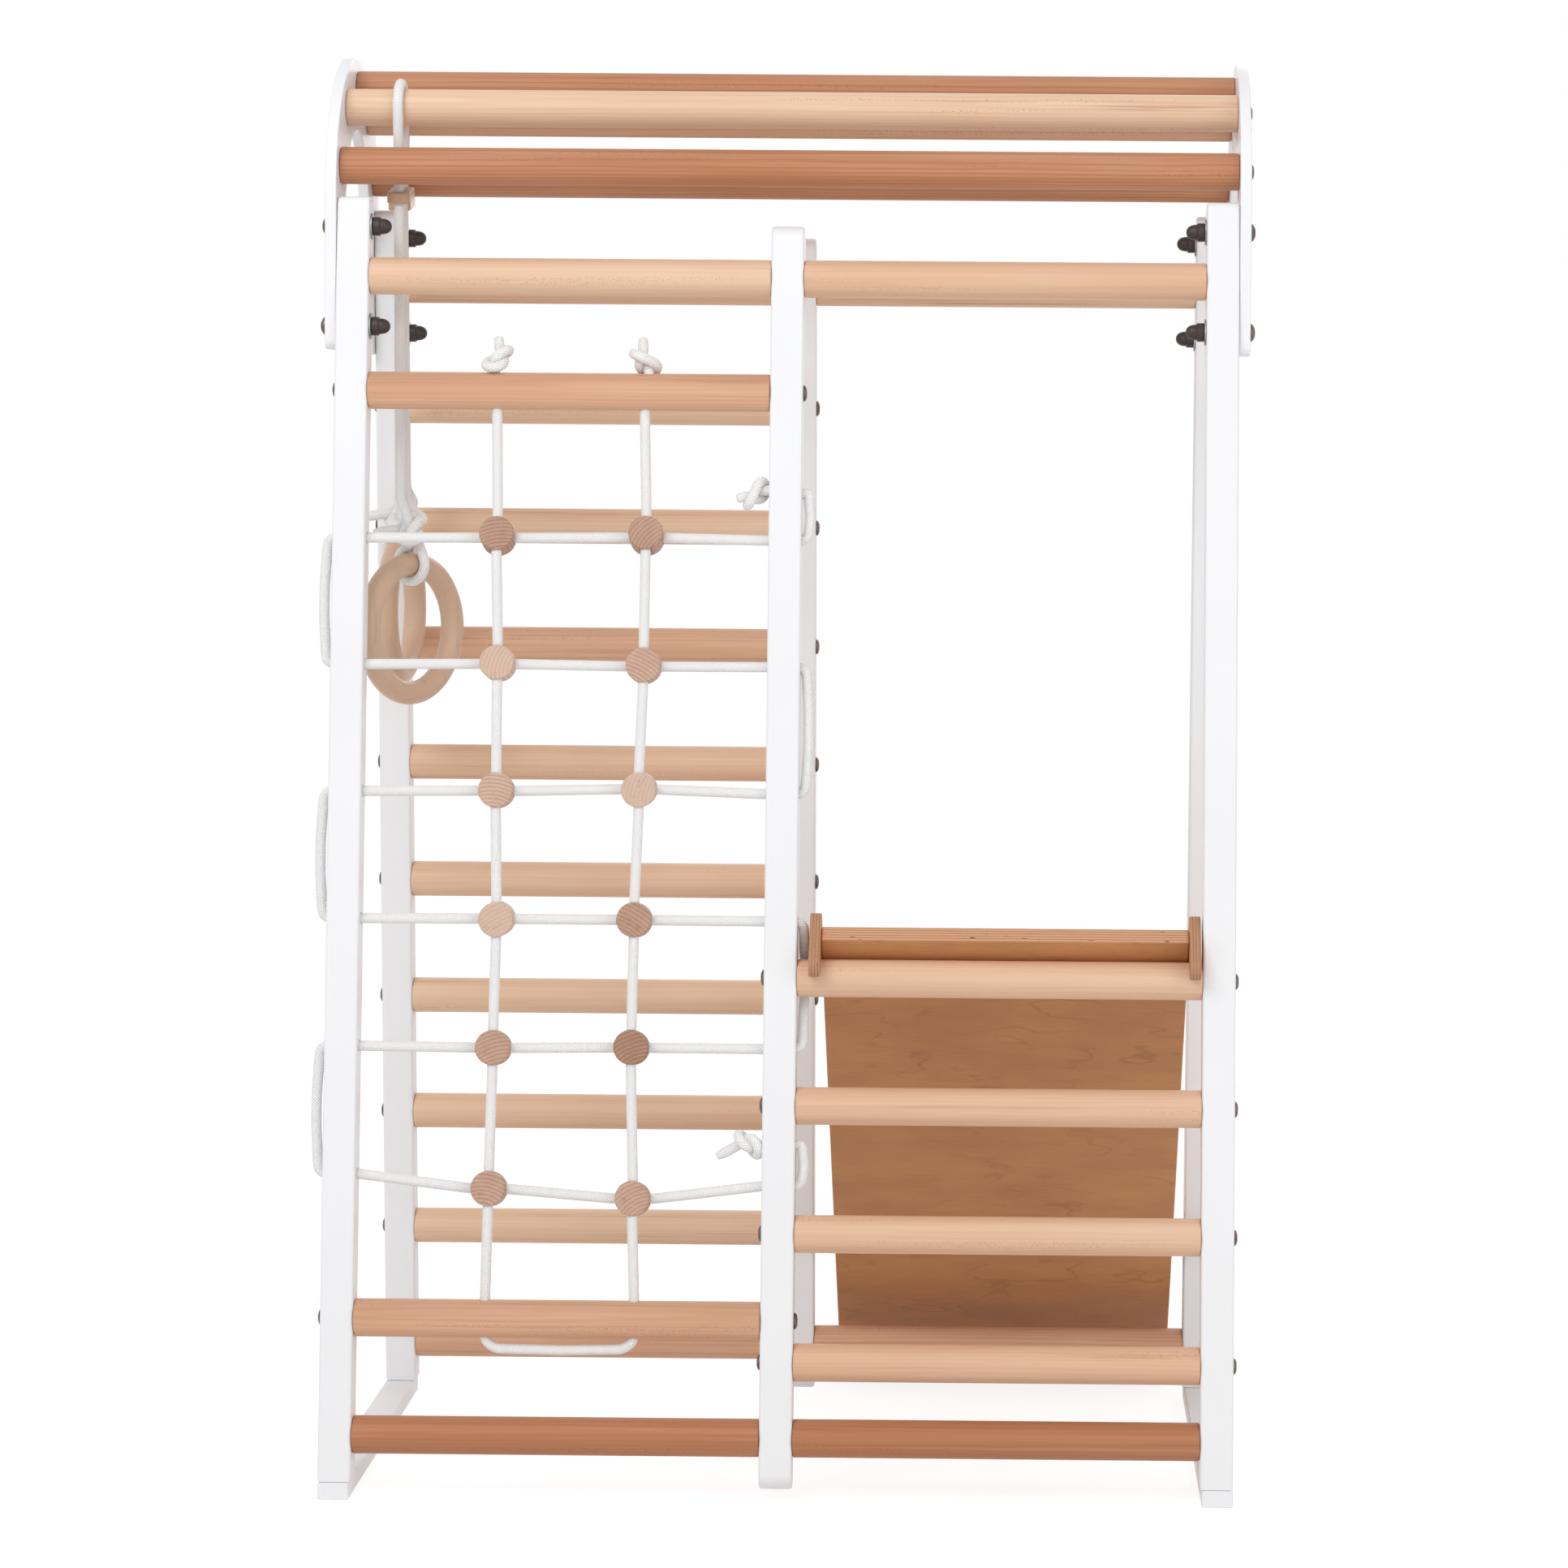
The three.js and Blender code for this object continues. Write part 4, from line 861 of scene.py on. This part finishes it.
# Net
def disc_mesh():
    """A short dowel along y with an eased rim and two crossed bores for the ropes."""
    half, radius = DISC_THICK / 2, DISC / 2
    body = turned([(-half, radius - DISC_EASE), (-half + DISC_NICK, radius - DISC_NICK),
                   (-half + DISC_EASE, radius), (half - DISC_EASE, radius),
                   (half - DISC_NICK, radius - DISC_NICK), (half, radius - DISC_EASE)], 64)
    body.transform(Matrix.Rotation(math.pi / 2, 4, "Z"))
    return worked(body, [rod(BORE, (0, -ROPE_OFFSET, -DISC), (0, -ROPE_OFFSET, DISC)),
                         rod(BORE, (-DISC, ROPE_OFFSET, 0), (DISC, ROPE_OFFSET, 0))])


discs = []
for column, x in enumerate(COLUMNS_X):
    discs.append([])
    for row, z in enumerate(ROWS_Z):
        at = Vector((x + DISC_X[column][row] * DISC, 0, along(z + DISC_Z[column][row] * DISC)))
        tilt = Matrix.Rotation(math.radians(DISC_TILTS[column][row]), 4, "X")
        discs[column].append(Matrix.Translation(at) @ tilt)
        turn = Matrix.Rotation(math.radians(DISC_TURNS[column][row]), 4, "Y")
        mesh = disc_mesh()
        mesh.transform(turn)
        timber(mesh, "yzx", offset=[dice.uniform(0, 9), dice.uniform(0.03, 0.07), dice.uniform(-0.01, 0.01)],
               tone=DISC_TONES[column][row])
        mesh.transform(turn.inverted())
        node = f"net_disc_{column + 1}_{row + 1}"
        piece(node + "_turned", mesh, "disc_beech", place=LEANING[-1] @ discs[column][row],
              replaces=[node])

LOOP_X = POST / 2 + ROPE / 2 + ROPE_CLEAR
KNOT_X, TAILS = -POST / 2 - KNOT_OUT, (0.0200, 0.0335)


def level_route():
    """From the upper knot through the net's six rows, then to the lower knot."""
    upper, lower = (along(z) for z in KNOTS_Z)
    corners = [(LOOP_X, 0, upper), (LOOP_X + LOOP_BULGE, 0, (upper + along(CENTRE_ROWS_Z[0])) / 2),
               (LOOP_X, 0, along(CENTRE_ROWS_Z[0]))]
    for row in range(ROWS):
        way = -1 if row % 2 == 0 else 1
        heights = [CENTRE_ROWS_Z[row], ROWS_Z[row]][::-way]
        ends = [-POST / 2, -INNER][::-way]
        order = [discs[1][row], discs[0][row]][::-way]
        corners.append((ends[0], 0, along(heights[0])))
        corners += [place @ Vector((end * way * DISC / 2, ROPE_OFFSET, 0))
                    for place in order for end in (-1, 1)]
        corners.append((ends[1], 0, along(heights[1])))
        out = -BAY - LOOP_X if way < 0 else LOOP_X
        corners.append((out, 0, along(heights[1])))
        if row == ROWS - 1:
            break
        following = ROWS_Z[row + 1] if way < 0 else CENTRE_ROWS_Z[row + 1]
        middle = (heights[1] + following) / 2
        if way > 0 and heights[1] > rung_z > following:
            behind = RUNG / 2 + ROPE / 2 + ROPE_CLEAR
            corners += [(out, behind, along(rung_z) + d * RUNG / 4) for d in (1, -1)]
        else:
            corners += [(out + way * LOOP_BULGE, 0, along(middle) + d * ROW_PITCH / 8) for d in (1, -1)]
        corners.append((out, 0, along(following)))
    corners += [(LOOP_X + LOOP_BULGE, 0, (lower + along(CENTRE_ROWS_Z[-1])) / 2), (LOOP_X, 0, lower)]
    first = knotted((KNOT_X, 0, upper), (-1, 0, -0.12), 200, tail=TAILS[0], droop=0.25)
    last = knotted((KNOT_X, 0, lower), (-1, 0, -0.10), 20, tail=TAILS[1], droop=0.35)
    return tied(first, corners, ROPE * 0.6, last)


def upright_route():
    """From the knot on the top rung down the left discs, under the low rung and up the right discs."""
    low, top = (along(z) for z in NET_RUNGS_Z)
    left, right = NET_HOLES_X

    def column(index, rows, way):
        return [discs[index][row] @ Vector((0, -ROPE_OFFSET, end * way * DISC / 2))
                for row in rows for end in (-1, 1)]

    under_rung = [(left + inward, 0, low - depth) for inward, depth in LOW_LOOP]
    under_rung.append(((left + right) / 2, 0, low - LOW_LOOP_DEPTH))
    under_rung += [(right - inward, 0, low - depth) for inward, depth in reversed(LOW_LOOP)]
    corners = [(left, 0, top - RUNG / 2), *column(0, range(ROWS), -1), (left, 0, low + RUNG / 2), *under_rung,
               (right, 0, low + RUNG / 2), *column(1, reversed(range(ROWS)), 1), (right, 0, top - RUNG / 2)]
    height = top + RUNG / 2 + KNOT_OUT
    first = knotted((left, 0, height), (0.06, 0, 1), 35)
    last = knotted((right, 0, height - 0.002), (-0.15, 0, 1), 215, tail=0.025)
    return tied(first, corners, ROPE * 0.58, last)


for name, route in [("level", level_route()), ("upright", upright_route())]:
    piece(f"net_{name}_cord", cord_mesh(evened(route, FINE_STEP, 2)), "rope", place=LEANING[-1],
          replaces=[f"net_{name}_rope"])


# Rings
def ring_mesh(sides=28, steps=96):
    """A round ring that stands in the xz plane."""
    points, faces = [], []
    for i in range(steps):
        angle = 2 * math.pi * i / steps
        for k in range(sides):
            turn = 2 * math.pi * k / sides
            reach = (RING - RING_SECTION) / 2 + RING_SECTION / 2 * math.cos(turn)
            points.append((reach * math.cos(angle), RING_SECTION / 2 * math.sin(turn),
                           reach * math.sin(angle)))
            this, after = i * sides, (i + 1) % steps * sides
            faces.append((after + k, after + (k + 1) % sides, this + (k + 1) % sides, this + k))
    return meshed(points, faces)


def hung(side, x, y, z, turn):
    """A ring's place under its arch rung, a little nearer to the middle, turned by some degrees."""
    return Matrix.Translation((x, y - side * RING_CLEAR, z)) @ Matrix.Rotation(math.radians(turn), 4, "Z")


def ring_route(side, x, rope_x, y, arch_z, top_z, turn):
    """From a free end through one knot, over the arch rung, through the other knot and round the ring."""
    over = RUNG / 2 + ROPE / 2 + ROPE_CLEAR

    def strand(way):
        hole_y = y + way * ADJUSTER_HOLES / 2
        return [(rope_x, hole_y, ADJUSTER_Z - 0.020), (rope_x, hole_y, ADJUSTER_Z + 0.016),
                (rope_x, y + way * over, arch_z), (rope_x, y + way * over, arch_z + over)]

    rear, front = strand(1), strand(-1)
    first = knotted((x - 0.006, y + 0.008, top_z + 0.040), (-1, -0.25, -0.1), 60, back=0.013, tail=0.036,
                    droop=0.15)
    last = knotted((x + 0.001, y - 0.008, top_z + 0.035), (0.2, 0, -1), 300, back=0.016, tail=0.012)
    over_first = [(x + 0.012, y + 0.013, top_z + 0.049), (rope_x + 0.004, y + 0.010, top_z + 0.066), *rear]
    reach = RING_SECTION / 2 + ROPE_CLEAR + ROPE / 2
    crown = hung(side, x, y, top_z, turn)
    loop = [crown @ Vector((0, reach * math.sin(a), reach * math.cos(a))) for a in np.linspace(0.9, 5.38, 30)]
    end = crown @ Vector((0, -0.003, 0.040))
    into_last = [*reversed(front), (rope_x + 0.001, y - 0.006, top_z + 0.072)]
    return [*tied(first, [*over_first, *into_last], over, last), *loop, end]


def adjuster_mesh():
    """An oval board with two bores, its length along z."""
    half_width, half_long = ADJUSTER_WIDTH / 2, ADJUSTER_LONG / 2
    corners = box_corners(-half_width, -half_long, half_width, half_long, ADJUSTER_ROUND, ADJUSTER_ROUND)
    bores = [rod(BORE, (-ADJUSTER_THICK, 0, hole), (ADJUSTER_THICK, 0, hole))
             for hole in (-ADJUSTER_HOLES / 2, ADJUSTER_HOLES / 2)]
    return worked(eased_slab(corners, ADJUSTER_THICK, ADJUSTER_EASE), bores)


# Turns a board's thickness upright and its length to the rear
FLAT = Matrix(((0, 1, 0, 0), (0, 0, 1, 0), (1, 0, 0, 0), (0, 0, 0, 1)))
for name, side, x, rope_x, z, turn in RINGS:
    arch_y, arch_z = ARCH_RUNGS[2 + side]
    y = SHIFT + arch_y
    piece(f"ring_{name}_turned", timber(ring_mesh(), "zxy", tone=0.3, flecked=0), "pale_beech",
          f"{name}_ring", hung(side, x, y, z, turn), [f"ring_{name}"])

    tilt = Matrix.Rotation(math.radians(ADJUSTER_TILT), 4, "X")
    piece(f"ring_adjuster_{name}_wood", timber(adjuster_mesh(), "zyx", tone=0.9), "pale_beech",
          f"{name}_ring_rope", Matrix.Translation((rope_x, y, ADJUSTER_Z)) @ tilt @ FLAT,
          [f"ring_adjuster_{name}"])

    route = ring_route(side, x, rope_x, y, arch_z, z + (RING - RING_SECTION) / 2, turn)
    piece(f"ring_cord_{name}", cord_mesh(evened(route, FINE_STEP, 2)), "rope", f"{name}_ring_rope",
          replaces=[f"ring_rope_{name}"])

# Floor, light and camera
GLOW, GLOW_SHARE = 1.17, 0.72
SKY_LIGHT = 0.62
FLOOR_CORNERS = [(-30, -12, 0), (30, -12, 0), (30, 60, 0), (-30, 60, 0)]
floor = added("floor", meshed(FLOOR_CORNERS, [(0, 1, 2, 3)]))
sheet = Finish("studio_floor", Roughness=0.9)
sheet.shader.inputs["Base Color"].default_value = (0.92, 0.92, 0.92, 1)
glow = sheet.node("ShaderNodeEmission", {}, {"Strength": GLOW})
blend = sheet.node("ShaderNodeMixShader", {}, {0: sheet.seen() * GLOW_SHARE, 2: glow})
sheet.tree.links.new(sheet.shader.outputs[0], blend.socket.node.inputs[1])
sheet.feed(sheet.tree.nodes["Material Output"].inputs["Surface"], blend)
floor.data.materials.append(sheet.material)

world = bpy.data.worlds.new("studio")
bpy.context.scene.world = world
world.use_nodes = True
sky = Tree(world.node_tree)
background = sky.tree.nodes["Background"]
background.inputs["Color"].default_value = (1, 1, 1, 1)
sky.feed(background.inputs["Strength"], sky.seen() * (1 - SKY_LIGHT) + SKY_LIGHT)


def lamp(name, place, aim, size, power):
    """A square area lamp that points from one place to another."""
    data = bpy.data.lights.new(name, "AREA")
    data.size, data.energy = size, power
    obj = added(name, data)
    obj.location = place
    obj.rotation_euler = (Vector(aim) - Vector(place)).to_track_quat("-Z", "Y").to_euler()


lamp("key", (-1.6, -3.2, 3.6), (0, 0, 0.8), 2.2, 71)
lamp("fill", (2.6, -3.0, 1.8), (0, 0, 0.7), 2.5, 28)
lamp("back", (0.9, 3.6, 2.6), (0, 0, 0.7), 2.5, 34)

# The camera that fits the photograph's edges: lens and image in pixels, place in metres, angles in radians
LENS, IMAGE, SENSOR = 5459.16559, 1932, 36
CAMERA_X, CAMERA_Y, CAMERA_Z = 0.248043, -4.896659, 1.118632
YAW, PITCH, ROLL = -0.00665, -0.03813, -0.00777
forward = Vector((math.sin(YAW) * math.cos(PITCH), math.cos(YAW) * math.cos(PITCH), math.sin(PITCH)))
level_right = Vector((math.cos(YAW), -math.sin(YAW), 0))
level_down = forward.cross(level_right)
right = level_right * math.cos(ROLL) + level_down * math.sin(ROLL)
down = level_down * math.cos(ROLL) - level_right * math.sin(ROLL)
camera_data = bpy.data.cameras.new("camera")
camera_data.sensor_width = SENSOR
camera_data.lens = LENS / IMAGE * SENSOR
camera_data.shift_x, camera_data.shift_y = -0.13, -0.11
camera_data.clip_start, camera_data.clip_end = 0.1, 200
camera = added("camera", camera_data)
camera.matrix_world = (Matrix.Translation((CAMERA_X, CAMERA_Y + SHIFT, CAMERA_Z))
                       @ Matrix((right, -down, -forward)).transposed().to_4x4())
bpy.context.scene.camera = camera
bpy.context.scene.view_settings.view_transform = "Standard"
